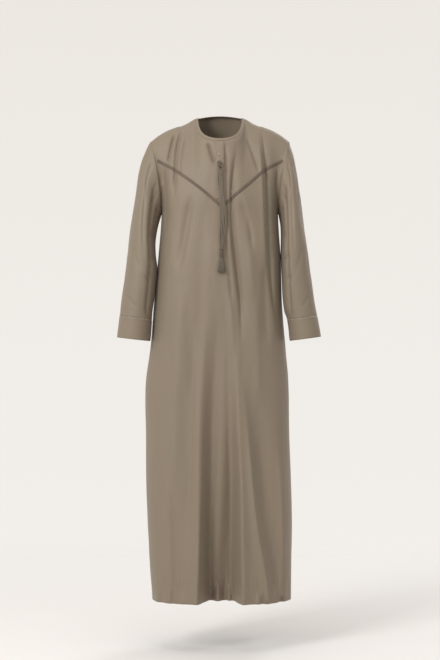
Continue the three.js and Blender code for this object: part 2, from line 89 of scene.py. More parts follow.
# Half of the strip's section: share of its half width, and lift over the cloth.
PLACKET_SECTION = [(0.0, 0.0016), (0.5, 0.0016), (0.85, 0.0017), (0.96, 0.0016), (1.0, 0.0011),
                   (1.0, 0.0002)]
TRIM = Named(width=0.008, lift=0.0012, crown=0.0007, cloth=0.0008, plait=0.00035,
             plait_pitch=0.0028)
SNAP = Named(x=-0.004, z=-0.1195, radius=0.0036, lift=0.0019)
HEM_STITCHES = (-0.196, 0.200)                  # from x to x
CUFF_STITCHES = ((0.22, 0.009), (0.86, 0.018))  # ends: share of the cuff's width, depth below its top
STITCH = Named(pitch=0.0032, size=(0.001152, 0.00032, 0.00030), lift=0.00005)
RUCK = Named(height=0.0007, ditch=0.0010, reach=0.012)  # along the hem's stitches

# Unevenness of the cloth: height, and how long a bump is in x, y and z.
ROUGH_WIDE, ROUGH_FINE = (0.0018, (0.06, 0.06, 0.24)), (0.0006, (0.018, 0.018, 0.05))
SLEEVE_WIDE, SLEEVE_FINE = (0.0026, (0.05, 0.05, 0.12)), (0.0009, (0.018, 0.018, 0.035))
CUFF_ROUGH = (0.0010, (0.04, 0.04, 0.05))


def rows(columns, values):
    """Rows of bare values as named columns."""
    return {name: np.array(column, dtype=object if isinstance(column[0], list) else float)
            for name, column in zip(columns.split(), zip(*values))}


SHOULDER = rows("x z", [
    [0.066, 0], [0.110, -0.022], [0.133, -0.029], [0.176, -0.047], [0.208, -0.072]])

BODY = rows("z right left front back", [
    [-0.290, -0.175, 0.174, -0.130, 0.122],
    [-0.430, -0.186, 0.182, -0.137, 0.124],
    [-0.560, -0.198, 0.186, -0.133, 0.130],
    [-0.680, -0.207, 0.195, -0.129, 0.137],
    [-0.800, -0.223, 0.205, -0.126, 0.142],
    [-0.950, -0.222, 0.208, -0.124, 0.146],
    [-1.090, -0.221, 0.213, -0.124, 0.148],
    [-1.210, -0.216, 0.216, -0.126, 0.149],
    [-1.330, -0.210, 0.214, -0.129, 0.150],
    [-1.440, -0.203, 0.213, -0.131, 0.150]])

RECESS = rows("z right_wall left_wall depth ridge_x ridge", [
    [-0.560, -0.020, 0.036, 0, 0.024, 0],
    [-0.700, -0.030, 0.037, 0.012, 0.018, 0.007],
    [-0.930, -0.036, 0.041, 0.027, 0.008, 0.014],
    [-1.110, -0.040, 0.048, 0.044, 0, 0.017],
    [-1.290, -0.046, 0.049, 0.066, -0.008, 0.013],
    [-1.440, -0.050, 0.050, 0.088, -0.012, 0.006]])
RECESS_WALL = 0.020
RECESS_RIDGE_WIDTH = 0.025
CHEST_ROWS = 56  # rows of points from the armpits up

# ---------- folds ----------

# xs are a fold's places at even steps from z_top down to z_end. rise is its height (a trough's is
# negative), right and left its reach to either side, and crisp how sharp its crest is (2 is round).
# A fold with fall 1 grows to the hem, one with fall 0 dies out at both ends.
FRONT_FOLDS = rows("z_top z_end xs rise right left crisp fall", [
    [-0.600, HEM_Z, [-0.046, -0.060, -0.064, -0.060], 0.013, 0.026, 0.015, 1.7, 1],
    [-0.600, HEM_Z, [0.042, 0.052, 0.062, 0.066], 0.012, 0.014, 0.020, 1.8, 1],
    [-0.740, HEM_Z, [0.064, 0.085, 0.108, 0.146], 0.014, 0.014, 0.011, 1.4, 1],
    [-0.760, HEM_Z, [0.092, 0.120, 0.144, 0.178], -0.015, 0.024, 0.028, 2, 1],
    [-0.920, -1.420, [0.168, 0.182, 0.186, 0.182], 0.011, 0.012, 0.014, 1.7, 1],
    [-0.600, -1.300, [-0.078, -0.080, -0.088, -0.104], -0.0050, 0.020, 0.007, 1.4, 0],
    [-0.980, HEM_Z, [-0.160, -0.150, -0.146], 0.008, 0.024, 0.014, 1.6, 1],
    [-0.500, -1.150, [-0.126, -0.132, -0.138], 0.006, 0.022, 0.020, 2, 0],
    [-0.070, -0.694, [0.052, 0.035, 0.033, 0.047, 0.060, 0.062], -0.017, 0.006, 0.014, 1.4, 0],
    [-0.055, -0.420, [0.016, 0.018, 0.021, 0.022], -0.0085, 0.004, 0.007, 1.4, 0],
    [-0.110, -0.760, [0.029, 0.027, 0.026, 0.034, 0.040], 0.006, 0.010, 0.009, 1.6, 0],
    [-0.200, -0.560, [0.070, 0.084, 0.098], 0.004, 0.012, 0.010, 1.8, 0],
    [-0.020, -0.260, [-0.112, -0.127, -0.133, -0.135], -0.0125, 0.009, 0.0045, 1.3, 0],
    [-0.040, -0.220, [-0.104, -0.115, -0.121, -0.122], 0.0045, 0.008, 0.006, 1.6, 0],
    [-0.040, -0.160, [-0.134, -0.146, -0.157], -0.0095, 0.006, 0.004, 1.4, 0],
    [-0.016, -0.640, [0.124, 0.133, 0.137, 0.141, 0.152, 0.170], -0.0165, 0.005, 0.010, 1.3, 0],
    [-0.040, -0.500, [0.114, 0.122, 0.127, 0.133, 0.148], 0.0065, 0.010, 0.006, 1.5, 0],
    [-0.060, -0.180, [0.080, 0.099, 0.116], -0.0070, 0.0045, 0.007, 1.4, 0],
    [-0.074, -0.158, [-0.036, -0.025, -0.011], -0.0120, 0.007, 0.004, 1.3, 0],
    [-0.140, -0.350, [-0.170, -0.161, -0.158], -0.006, 0.005, 0.008, 1.5, 0],
    [-0.140, -0.350, [0.172, 0.165, 0.162], -0.006, 0.007, 0.005, 1.5, 0],
    [-0.230, -0.480, [-0.084, -0.102, -0.124], -0.009, 0.016, 0.010, 1.8, 0],
    [-0.244, -0.410, [0.064, 0.084, 0.098], -0.009, 0.013, 0.007, 1.6, 0],
    [-0.340, -0.580, [0.017, 0.026, 0.036], -0.011, 0.006, 0.006, 1.4, 0],
    [-0.300, -0.700, [-0.050, -0.056, -0.058], -0.003, 0.020, 0.016, 2, 0],
    [-0.480, -0.860, [-0.116, -0.110, -0.104], 0.004, 0.024, 0.018, 2, 0],
    [-0.520, -0.900, [0.104, 0.110, 0.118], 0.005, 0.020, 0.016, 1.8, 0],
    [-0.420, -0.700, [0.132, 0.134, 0.136], -0.006, 0.014, 0.012, 1.8, 0]])
BACK_FOLDS = rows("z_top z_end xs rise right left crisp fall", [
    [-0.300, HEM_Z, [-0.092, -0.104, -0.112, -0.118], -0.016, 0.022, 0.020, 1.8, 1],
    [-0.300, HEM_Z, [-0.058, -0.064, -0.066, -0.066], 0.009, 0.020, 0.018, 1.6, 1],
    [-0.420, HEM_Z, [-0.022, -0.020, -0.014, -0.008], -0.020, 0.022, 0.019, 1.8, 1],
    [-0.420, HEM_Z, [0.020, 0.028, 0.036, 0.040], 0.009, 0.018, 0.017, 1.6, 1],
    [-0.320, HEM_Z, [0.074, 0.086, 0.092, 0.096], -0.015, 0.020, 0.022, 1.8, 1],
    [-0.420, HEM_Z, [0.128, 0.140, 0.148, 0.152], 0.009, 0.022, 0.016, 1.6, 1],
    [-0.110, -0.560, [-0.104, -0.112, -0.126, -0.140], -0.006, 0.010, 0.013, 1.6, 0],
    [-0.120, -0.600, [0.098, 0.108, 0.124, 0.142], -0.006, 0.013, 0.010, 1.6, 0],
    [-0.060, -0.300, [-0.140, -0.148, -0.152], -0.004, 0.007, 0.007, 1.6, 0],
    [-0.060, -0.320, [0.138, 0.147, 0.150], -0.004, 0.007, 0.008, 1.6, 0],
    [-0.500, -1.200, [-0.146, -0.152, -0.150], -0.005, 0.012, 0.012, 1.7, 1],
    [-0.700, HEM_Z, [0.112, 0.118, 0.120], -0.006, 0.010, 0.012, 1.6, 1]])

# Small tents that the stitched hem pulls up, each from z_top to the hem.
FRONT_PUCKERS = rows("x z_top rise reach", [
    [-0.040, -1.378, 0.009, 0.006], [-0.026, -1.352, -0.008, 0.010], [-0.006, -1.362, 0.013, 0.010],
    [0.014, -1.350, -0.008, 0.010], [0.028, -1.376, 0.010, 0.006], [0.040, -1.388, -0.007, 0.005],
    [0.112, -1.394, 0.005, 0.007], [0.128, -1.390, -0.005, 0.006], [0.150, -1.368, -0.0045, 0.008],
    [0.165, -1.360, 0.006, 0.008], [0.180, -1.372, -0.0045, 0.007], [0.193, -1.366, 0.005, 0.007],
    [0.203, -1.380, -0.003, 0.006], [-0.110, -1.398, 0.004, 0.010], [-0.140, -1.392, -0.005, 0.008],
    [-0.168, -1.386, -0.004, 0.009], [-0.186, -1.390, 0.005, 0.007]])
BACK_PUCKERS = rows("x z_top rise reach", [
    [-0.160, -1.384, 0.006, 0.007], [-0.142, -1.390, -0.005, 0.006], [-0.084, -1.378, -0.007, 0.007],
    [-0.030, -1.386, 0.006, 0.007], [0.030, -1.374, -0.008, 0.007], [0.060, -1.392, 0.005, 0.008],
    [0.108, -1.384, 0.006, 0.008], [0.160, -1.380, -0.006, 0.007], [0.180, -1.388, 0.005, 0.006]])

# ---------- sleeves ----------

SLEEVE_COLUMNS = "out_x out_z in_x in_z mid_y depth"
SLEEVE_RIGHT = rows(SLEEVE_COLUMNS, [
    [0.225, -0.104, 0.183, -0.316, -0.003, 0.122], [0.240, -0.150, 0.189, -0.344, -0.005, 0.138],
    [0.250, -0.208, 0.193, -0.376, -0.008, 0.150], [0.259, -0.270, 0.192, -0.412, -0.014, 0.156],
    [0.267, -0.335, 0.187, -0.452, -0.024, 0.150], [0.275, -0.400, 0.190, -0.496, -0.030, 0.142],
    [0.283, -0.465, 0.195, -0.540, -0.035, 0.134], [0.291, -0.530, 0.201, -0.580, -0.038, 0.124],
    [0.298, -0.592, 0.203, -0.606, -0.040, 0.114], [0.306, -0.657, 0.2075, -0.668, -0.042, 0.106]])
SLEEVE_LEFT = rows(SLEEVE_COLUMNS, [
    [0.218, -0.104, 0.180, -0.316, -0.003, 0.122], [0.228, -0.150, 0.182, -0.344, -0.005, 0.138],
    [0.236, -0.208, 0.182, -0.376, -0.010, 0.150], [0.244, -0.270, 0.181, -0.412, -0.018, 0.156],
    [0.252, -0.335, 0.1825, -0.452, -0.026, 0.150], [0.261, -0.400, 0.1845, -0.496, -0.031, 0.142],
    [0.270, -0.465, 0.1865, -0.540, -0.035, 0.134], [0.280, -0.530, 0.1915, -0.580, -0.038, 0.124],
    [0.289, -0.592, 0.200, -0.606, -0.040, 0.114], [0.300, -0.655, 0.208, -0.667, -0.042, 0.106]])

SLEEVE_LENGTH = 0.55
SLEEVE_GIRTH = 0.42     # round the middle of a sleeve
SLEEVE_BOW = 0.012      # how far a crease bows aside, as a share of its length
SLEEVE_CRISP = 1.6      # sharpness of a crease, as in the body's folds
SLEEVE_POINTS = 110     # round a sleeve
SLEEVE_ROWS = 130
ARMHOLE_GAP = 0.0004
CUFF_BAND = 0.064
CUFF_CROWN = 0.0007
SEAM_SHARE = 0.0004     # gap at the cuff's seam, as a share of the sleeve

# Creases of a sleeve: angle round it (0 outside, 90 front, 180 inside) and share of its length,
# from a start to an end, with height and reach.
SLEEVE_FOLDS = rows("angle_a run_a angle_b run_b rise reach", [
    [108, 0.00, 128, 0.64, -0.0095, 0.007],
    [126, 0.46, 134, 1.00, -0.0065, 0.007],
    [90, 0.04, 108, 0.90, 0.003, 0.014],
    [60, 0.02, 82, 0.24, -0.0035, 0.006],
    [76, 0.20, 92, 0.62, -0.0025, 0.010],
    [96, 0.00, 120, 0.24, -0.003, 0.007],
    [132, 0.04, 152, 0.36, -0.005, 0.006],
    [144, 0.30, 108, 0.42, -0.0025, 0.010],
    [152, 0.50, 104, 0.58, -0.003, 0.011],
    [148, 0.66, 98, 0.72, -0.0025, 0.009],
    [36, 0.60, 92, 0.70, -0.0018, 0.010],
    [26, 0.86, 84, 0.93, -0.0020, 0.008],
    [30, 0.04, 44, 0.50, -0.0020, 0.012],
    [-60, 0.04, -96, 0.36, -0.006, 0.008],
    [-104, 0.03, -122, 0.84, -0.009, 0.009],
    [-112, 0.04, -146, 0.34, -0.005, 0.007],
    [-150, 0.40, -76, 0.50, -0.0045, 0.010],
    [-150, 0.54, -66, 0.60, -0.0045, 0.010],
    [-146, 0.68, -80, 0.75, -0.0035, 0.009]])

TRIM_RIGHT = rows("x z", [
    [-0.186, -0.132], [-0.146, -0.155], [-0.107, -0.182], [-0.056, -0.221], [0.008, -0.277]])
TRIM_LEFT = rows("x z", [
    [0.186, -0.132], [0.137, -0.160], [0.088, -0.202], [0.037, -0.246], [0.0115, -0.269]])

TASSEL_ROUTE = [
    (-0.0015, -0.1292, -0.1655), (-0.0012, -0.1314, -0.1780), (-0.0005, -0.1332, -0.1940),
    (0.0010, -0.1348, -0.2120), (0.0032, -0.1362, -0.2300), (0.0058, -0.1375, -0.2500),
    (0.0076, -0.1382, -0.2720), (0.0079, -0.1388, -0.2950), (0.0070, -0.1396, -0.3200),
    (0.0054, -0.1406, -0.3450), (0.0043, -0.1416, -0.3720), (0.0040, -0.1426, -0.4020)]

# ---------- small maths ----------

TINY = 1e-9


def smooth(t):
    t = np.clip(t, 0, 1)
    return t * t * (3 - 2 * t)


def mix(a, b, t):
    return a + (b - a) * t


def through(values, t):
    """Smooth values at t from 0 to 1 through evenly spaced ones."""
    values = np.asarray(values, dtype=float)
    at = np.clip(t, 0, 1) * (len(values) - 1)
    i = np.minimum(len(values) - 2, np.floor(at).astype(int))
    f = at - i
    before = values[np.maximum(0, i - 1)]
    after = values[np.minimum(len(values) - 1, i + 2)]
    slope_a = (values[i + 1] - before) / 2
    slope_b = (after - values[i]) / 2
    f2, f3 = f * f, f * f * f
    return (values[i] * (2 * f3 - 3 * f2 + 1) + slope_a * (f3 - 2 * f2 + f)
            + values[i + 1] * (3 * f2 - 2 * f3) + slope_b * (f3 - f2))


def look_up(table, key, value, column):
    keys = table[key]
    sign = 1 if keys[-1] > keys[0] else -1
    t = np.interp(sign * value, sign * keys, np.arange(len(keys))) / (len(keys) - 1)
    return through(table[column], t)


def stack(x, y, z):
    return np.stack(np.broadcast_arrays(x, y, z), axis=-1)


def unit(vectors):
    return vectors / np.maximum(np.linalg.norm(vectors, axis=-1, keepdims=True), TINY)


def run_along(path):
    """Distance of each point of a path from its first one, along it."""
    return np.concatenate([[0], np.cumsum(np.linalg.norm(np.diff(path, axis=0), axis=1))])


# ---------- the body's surface ----------


def fold_height(folds, x, z):
    """Height of the folds of one table at places on a panel."""
    height = np.zeros_like(x)
    for z_top, z_end, xs, rise, right, left, crisp, fall in zip(*folds.values()):
        t = (z_top - z) / (z_top - z_end)
        off = x - through(xs, t)
        along = smooth(t / 0.45) if fall else smooth(t / 0.25) * smooth((1 - t) / 0.3)
        shape = np.exp(-(np.abs(off) / np.where(off < 0, right, left)) ** crisp)
        height += np.where((t > 0) & (t < 1.01), rise * along * shape, 0)
    return height


def pucker_height(puckers, x, z):
    height = np.zeros_like(x)
    for middle, z_top, rise, reach in zip(*puckers.values()):
        t = smooth((z_top - z) / (z_top - HEM_Z))
        off = (x - middle) / (reach * mix(0.35, 1, t))
        height += rise * t * np.exp(-off * off)
    return height


def recess_depth(x, z):
    def at(column):
        return look_up(RECESS, "z", z, column)
    inside = (smooth((x - at("right_wall") + RECESS_WALL) / (2 * RECESS_WALL))
              * smooth((at("left_wall") + RECESS_WALL - x) / (2 * RECESS_WALL)))
    off = (x - at("ridge_x")) / RECESS_RIDGE_WIDTH
    depth = at("depth") * inside - at("ridge") * np.exp(-off * off)
    return np.where(z < RECESS["z"][0], depth, 0)


def section_point(back, u, z):
    """A level section of the body: u is 0 at the right side seam and 1 at the left one."""
    right, left = look_up(BODY, "z", z, "right"), look_up(BODY, "z", z, "left")
    c, s = -np.cos(np.pi * u), np.sin(np.pi * u)
    x = (left + right) / 2 + (left - right) / 2 * c * (1 + FULLNESS * s * s)
    y = look_up(BODY, "z", z, "back" if back else "front") * s * (1 + FULLNESS * c * c)
    return stack(x, y, z)


def neck_point(back, side, turn, out):
    """Half of the neckline: turn is 0 at the side and 1 in the middle, out is along the cloth."""
    c, s = np.cos(turn * np.pi / 2), np.sin(turn * np.pi / 2)
    swell = s * (1 + FULLNESS * c * c)
    x = side * (NECK.half_width + out * NECK_SPREAD.sideways) * c * (1 + FULLNESS * s * s)
    slope = -NECK_SPREAD.side_fall * out * (1 - s)
    if back:
        z = (NECK.back_rise - out * NECK_SPREAD.back_fall) * s * s + slope
        return stack(x, (NECK.back_reach + out * NECK_SPREAD.back) * swell, z)
    z = slope - (NECK.front_drop + out * NECK_SPREAD.front_fall) * swell
    return stack(x, -(NECK.front_reach + out * NECK_SPREAD.front) * swell, z)


def armhole_point(back, side, angle):
    """The armhole's seam: angle is 0 at the shoulder's tip and pi at the armpit."""
    c, s = np.cos(angle), np.sin(angle)
    x = mix(ARMHOLE.base_x, ARMHOLE.tip_x, (1 + c) / 2) - ARMHOLE.hollow * s * s
    z = mix(ARMPIT_Z, ARMHOLE.tip_z, (1 + c) / 2)
    return stack(side * x, (1 if back else -1) * ARMHOLE.half_depth * s, z)


def top_point(back, side, edge):
    neck = neck_point(back, side, np.clip(1 - edge / NECK_SHARE, 0, 1), NECK_BAND_WIDTH)
    neck_side = NECK.half_width + NECK_BAND_WIDTH * NECK_SPREAD.sideways
    x = mix(neck_side, ARMHOLE.tip_x, np.clip((edge - NECK_SHARE) / (1 - NECK_SHARE), 0, 1))
    shoulder = stack(side * x, 0 * x, look_up(SHOULDER, "x", x, "z"))
    return np.where((edge <= NECK_SHARE)[..., None], neck, shoulder)


def upper_point(back, u, v):
    facing = 1 if back else -1
    side = np.where(u < 0.5, -1.0, 1.0)
    edge = np.abs(2 * u - 1)
    start = section_point(back, u, np.full_like(u, ARMPIT_Z))
    end = top_point(back, side, edge)
    rise = end[..., 2] - start[..., 2]
    curve = CURVE_BACK if back else CURVE_FRONT
    over = smooth(edge / (NECK_SHARE * CURVE_SHOULDER.reach))
    start_handle = stack(0 * u, facing * curve.start_out * (1 - edge), rise * CURVE_RISE)
    end_handle = stack(0 * u, facing * mix(curve.end_out, CURVE_SHOULDER.end_out, over),
                       mix(curve.end_drop, CURVE_SHOULDER.end_drop, over))
    t = v[..., None]
    point = ((1 - t) ** 3 * start + 3 * (1 - t) ** 2 * t * (start + start_handle)
             + 3 * (1 - t) * t * t * (end + end_handle) + t ** 3 * end)
    at_armhole = smooth((edge - 1 + ARMHOLE_BLEND) / ARMHOLE_BLEND)[..., None]
    return mix(point, armhole_point(back, side, np.pi * (1 - v)), at_armhole)


def panel_base(back, u, v):
    """A panel before its folds: v is 0 at the hem, 1 at the armpits, 2 at the shoulder."""
    lower = section_point(back, u, mix(HEM_Z, ARMPIT_Z, np.clip(v, 0, 1)))
    upper = upper_point(back, u, np.clip(v - 1, 0, 1))
    return np.where((v <= 1)[..., None], lower, upper)


def soften(grid, weight, times):
    """Evens a grid across its columns, by a weight for each point. The ends stay."""
    for _ in range(times):
        evened = (grid[:, :-2] + 2 * grid[:, 1:-1] + grid[:, 2:]) / 4
        grid[:, 1:-1] += (evened - grid[:, 1:-1]) * weight[:, 1:-1, None]
    return grid


def panel_relief(back, u, v, x, z):
    """How far a panel's folds stand out from its base."""
    height = fold_height(BACK_FOLDS if back else FRONT_FOLDS, x, z) * smooth((2 - v) / FOLD_FREE_TOP)
    height += pucker_height(BACK_PUCKERS if back else FRONT_PUCKERS, x, z)
    off = (z - HEM_Z - bpy.context.scene.robe_cloth.hem_depth) / RUCK.reach
    height += RUCK.height * np.sin(x * 520 + 3 * np.sin(x * 47)) * np.exp(-off ** 2)
    height -= RUCK.ditch * np.exp(-(off * 7) ** 2)
    height *= smooth((1 - np.abs(2 * u - 1)) / FOLD_FREE_EDGE)
    return height if back else height - recess_depth(x, z)


# ---------- meshes ----------


def grid_normals(grid, tube=False):
    """Unit normals of a grid of points, across by along."""
    if tube:
        ring = grid[:, :-1]
        across = np.roll(ring, -1, axis=1) - np.roll(ring, 1, axis=1)
        across = np.concatenate([across, across[:, :1]], axis=1)
    else:
        across = np.gradient(grid, axis=1)
    return unit(np.cross(across, np.gradient(grid, axis=0)))


def roughen(grid, height, cell, seed, ease=1.0, tube=False):
    """Slight unevenness along the normals. cell is how long a bump is in x, y and z."""
    places = grid.reshape(-1, 3) / cell + (0, 0, seed)
    bumps = [noise.noise(Vector(place)) for place in places]
    amount = np.array(bumps).reshape(grid.shape[:2]) * height * ease
    return grid + grid_normals(grid, tube) * amount[..., None]


def tuck(grid, normal, gap, axis, start=True, end=True):
    """Turns a sheet's cut edges under, as seam allowances: two more lines of points at an edge."""
    points, out = grid.swapaxes(0, axis), normal.swapaxes(0, axis)
    half, under = points - out * gap / 2, points - out * gap
    lines = [points]
    if start:
        lines = [under[2:3], half[:1]] + lines
    if end:
        lines = lines + [half[-1:], under[-3:-2]]
    return np.concatenate(lines).swapaxes(0, axis)


def grid_mesh(bm, grid, cloth_size, tube=False):
    """Adds a flat grid to bm and moves its points to those of grid[row][column]."""
    row_steps, column_steps = grid.shape[0] - 1, grid.shape[1] - 1
    uv = bm.loops.layers.uv.verify()
    made = bmesh.ops.create_grid(bm, x_segments=column_steps, y_segments=row_steps, size=0.5,
                                 calc_uvs=True)
    faces = {face for vert in made["verts"] for face in vert.link_faces}
    for face in faces:
        face.smooth = True
        for loop in face.loops:
            loop[uv].uv = (loop[uv].uv[0] * cloth_size[0], loop[uv].uv[1] * cloth_size[1])
    for vert in made["verts"]:
        column = round((vert.co.x + 0.5) * column_steps)
        row = round((vert.co.y + 0.5) * row_steps)
        vert.co = grid[row, column]
    if tube:
        bmesh.ops.remove_doubles(bm, verts=made["verts"], dist=1e-6)


def finish_mesh(bm, name, material):
    mesh = bpy.data.meshes.new(name)
    bm.to_mesh(mesh)
    bm.free()
    piece = bpy.data.objects.new(name, mesh)
    bpy.context.scene.collection.objects.link(piece)
    mesh.materials.append(material)
    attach(piece, "root")
    return piece


def thicken(piece, thickness):
    """Turns a sheet into a thin shell, inwards from its outer face."""
    wall = piece.modifiers.new("Cloth thickness", "SOLIDIFY")
    wall.thickness = thickness
    wall.offset = -1
    wall.use_even_offset = False
    return piece


def sheet_piece(name, grid, cloth_size, material, thickness, tube=False):
    bm = bmesh.new()
    grid_mesh(bm, grid, cloth_size, tube)
    return thicken(finish_mesh(bm, name, material), thickness)


def turned_edge(depth, gap, steps=3):
    """Rows of a folded edge, inside edge first: (run back from the fold, inset, overshoot)."""
    inside = [(depth * (1 - k / steps), gap, 0.0) for k in range(steps)]
    turn = [(0.0, gap / 2 * (1 + math.cos(a)), gap / 2 * math.sin(a))
            for a in (math.pi * k / 4 for k in range(4))]
    return inside + turn


def panel_grid(back, columns, body_rows, seed):
    """A panel's points, from the inside of its folded hem up. Its cut edges are turned under."""
    cloth = bpy.context.scene.robe_cloth
    facing = 1 if back else -1
    levels = [(run / (ARMPIT_Z - HEM_Z), inset, drop)
              for run, inset, drop in turned_edge(cloth.hem_depth, cloth.fold_gap)]
    levels += [((k / body_rows) ** 1.25, 0.0, 0.0) for k in range(body_rows)]
    levels += [(1 + k / CHEST_ROWS, 0.0, 0.0) for k in range(CHEST_ROWS + 1)]
    v, inset, drop = (np.array(column)[:, None] for column in zip(*levels))
    u, v = np.meshgrid(np.linspace(0, 1, columns + 1), v)
    edge = np.abs(2 * u - 1)
    grid = panel_base(back, u, v)
    over_chest = smooth((v - 0.9) / 0.3) * smooth((2 - v) / 0.25) * smooth((1 - edge) / 0.1)
    grid = soften(grid, over_chest, 60)
    grid[..., 1] += facing * panel_relief(back, u, v, grid[..., 0], grid[..., 2])
    side_ease = smooth((1 - edge) / 0.06) * smooth((2 - v) / 0.06)
    grid = roughen(grid, *ROUGH_WIDE, seed, side_ease)
    grid = roughen(grid, *ROUGH_FINE, seed + 5, side_ease)
    level_out = unit(np.cross(np.gradient(grid, axis=1), np.array([0.0, 0.0, -facing])))
    out = grid_normals(grid) * (-1 if back else 1)
    out = np.where((v < NEAR_HEM)[..., None], level_out, out)
    grid = grid - level_out * inset[..., None]
    grid[..., 2] -= drop
    at_seam = np.abs(grid[..., 1]) < SEAM_GAP / 2
    grid[..., 1] = np.where(at_seam, facing * SEAM_GAP / 2, grid[..., 1])
    grid = tuck(grid, out, cloth.tuck_gap, axis=1)
    return grid[:, ::-1] if back else grid


# ---------- materials ----------

MIX_INPUTS = (0, 6, 7)      # factor and both colours of a colour mix
MIX_RESULT = 2
SLUBS = (900, 22, 1)        # thick places of the thread, to the metre
CLOUDS = (16, 16, 2.6)      # soft change of tone, to the metre
METAL_GRAIN = 900


def new_material(name):
    material = bpy.data.materials.new(name)
    material.use_nodes = True
    nodes = material.node_tree.nodes
    nodes.clear()
    output = nodes.new("ShaderNodeOutputMaterial")
    shader = nodes.new("ShaderNodeBsdfPrincipled")
    material.node_tree.links.new(shader.outputs["BSDF"], output.inputs["Surface"])
    return material, material.node_tree, shader


def put(tree, socket, value):
    """Gives an input a value, or links it to an output."""
    if isinstance(value, bpy.types.NodeSocket):
        tree.links.new(value, socket)
    else:
        socket.default_value = value


def feed(tree, made, **inputs):
    """Gives a node's inputs their values or links. A name's spaces are written as low lines."""
    for key, value in inputs.items():
        put(tree, made.inputs[key.replace("_", " ")], value)
    return made


def node(tree, kind, **settings):
    """A shader node. Lower case names are its settings, the others its inputs."""
    made = tree.nodes.new("ShaderNode" + kind)
    for key in filter(str.islower, settings):
        setattr(made, key, settings[key])
    return feed(tree, made, **{key: value for key, value in settings.items() if not key.islower()})


def mixed(tree, factor, a, b):
    """A colour between a and b, which are colours or output sockets."""
    made = tree.nodes.new("ShaderNodeMix")
    made.data_type = "RGBA"
    for index, value in zip(MIX_INPUTS, (factor, a, b)):
        put(tree, made.inputs[index], (*value, 1) if isinstance(value, tuple) else value)
    return made.outputs[MIX_RESULT]


def math_node(tree, operation, a, b):
    made = node(tree, "Math", operation=operation)
    put(tree, made.inputs[0], a)
    put(tree, made.inputs[1], b)
    return made.outputs["Value"]


def noise_node(tree, coordinates, bumps, detail=2.0):
    """Noise with a number of bumps to the metre along each axis."""
    spread = node(tree, "Mapping", Vector=coordinates, Scale=bumps).outputs["Vector"]
    return node(tree, "TexNoise", Vector=spread, Scale=1.0, Detail=detail).outputs["Fac"]


def ranged(tree, value, to_min, to_max, from_min=0.0, from_max=1.0, **settings):
    """A value brought from one range to another."""
    made = node(tree, "MapRange", Value=value, From_Min=from_min, From_Max=from_max, To_Min=to_min,
                To_Max=to_max, **settings)
    return made.outputs["Result"]


def cloth_material(name, warp, weft, pitch, bump, roughness, sheen, weave_angle):
    """Woven cloth on the piece's own cloth coordinates, in metres, with painted shade in the hollows of
    its weave.
    """
    material, tree, shader = new_material(name)
    uv = node(tree, "UVMap").outputs["UV"]
    turn = node(tree, "Mapping", Vector=uv, Rotation=(0, 0, weave_angle)).outputs["Vector"]
    threads = [node(tree, "TexWave", wave_type="BANDS", bands_direction=direction, wave_profile="SIN",
                    Vector=turn, Scale=math.tau / (20 * pitch), Distortion=0.6, Detail=1.0,
                    Detail_Scale=0.3).outputs["Fac"] for direction in ("X", "Y")]
    weave = math_node(tree, "MULTIPLY", *threads)
    slub = noise_node(tree, uv, SLUBS, detail=3.0)
    place = node(tree, "TexCoord").outputs["Object"]
    cloud = ranged(tree, noise_node(tree, place, CLOUDS), 0.0, 1.0, 0.38, 0.62)
    base = mixed(tree, cloud, warp, weft)
    # Painted shade: a darker copy of the warp colour is mixed into the weave's hollows, the same places
    # the bump sinks.
    hollow_shade = tuple(0.72 * channel for channel in warp)
    woven = mixed(tree, ranged(tree, weave, 0.30, 0.0), base, hollow_shade)
    lighter = tuple(min(1.0, 1.25 * channel) for channel in weft)
    tone = mixed(tree, ranged(tree, slub, 0.0, 0.16, 0.3, 0.7), woven, lighter)
    relief = node(tree, "Bump", Strength=bump, Distance=pitch * 0.3,
                  Height=math_node(tree, "ADD", weave, slub))
    feed(tree, shader, Base_Color=tone, Normal=relief.outputs["Normal"],
         Roughness=ranged(tree, slub, roughness - 0.05, roughness + 0.07), Specular_IOR_Level=0.35,
         Sheen_Weight=sheen, Sheen_Roughness=0.45, Sheen_Tint=(0.95, 0.90, 0.82, 1))
    return material


def metal_material(name, colour):
    material, tree, shader = new_material(name)
    place = node(tree, "TexCoord").outputs["Object"]
    grain = node(tree, "TexNoise", Vector=place, Scale=METAL_GRAIN).outputs["Fac"]
    tone = mixed(tree, grain, tuple(0.8 * channel for channel in colour), tuple(colour))
    feed(tree, shader, Base_Color=tone, Roughness=ranged(tree, grain, 0.22, 0.42), Metallic=1.0)
    return material


# Each woven finish: both colours' settings, thread pitch in metres, bump, roughness, sheen, and
# the weave's angle.
WEAVES = {
    "robe_cloth": ("warp", "weft", 0.0005, 0.25, 0.55, 0.12, 0.0),
    "robe_braid": ("braid", "braid_shade", 0.0008, 0.6, 0.62, 0.15, 0.785),
    "robe_thread": ("tassel", "tassel_shade", 0.0006, 0.5, 0.45, 0.25, 0.5),
}


def robe_material(kind):
    """One shared material for each finish, made on its first use."""
    if kind in bpy.data.materials:
        return bpy.data.materials[kind]
    finish = bpy.context.scene.robe_finish
    if kind == "robe_metal":
        return metal_material(kind, finish.metal)
    light, dark, *look = WEAVES[kind]
    return cloth_material(kind, tuple(getattr(finish, light)), tuple(getattr(finish, dark)), *look)


# ---------- settings ----------


def size_setting(name, default, description, **more):
    return FloatProperty(name=name, description=description, default=default, unit="LENGTH", **more)


def colour_setting(name, default, description):
    return FloatVectorProperty(name=name, description=description, default=default, subtype="COLOR")


def power_setting(name, default, description):
    return FloatProperty(name=name, description=description, default=default, unit="POWER")


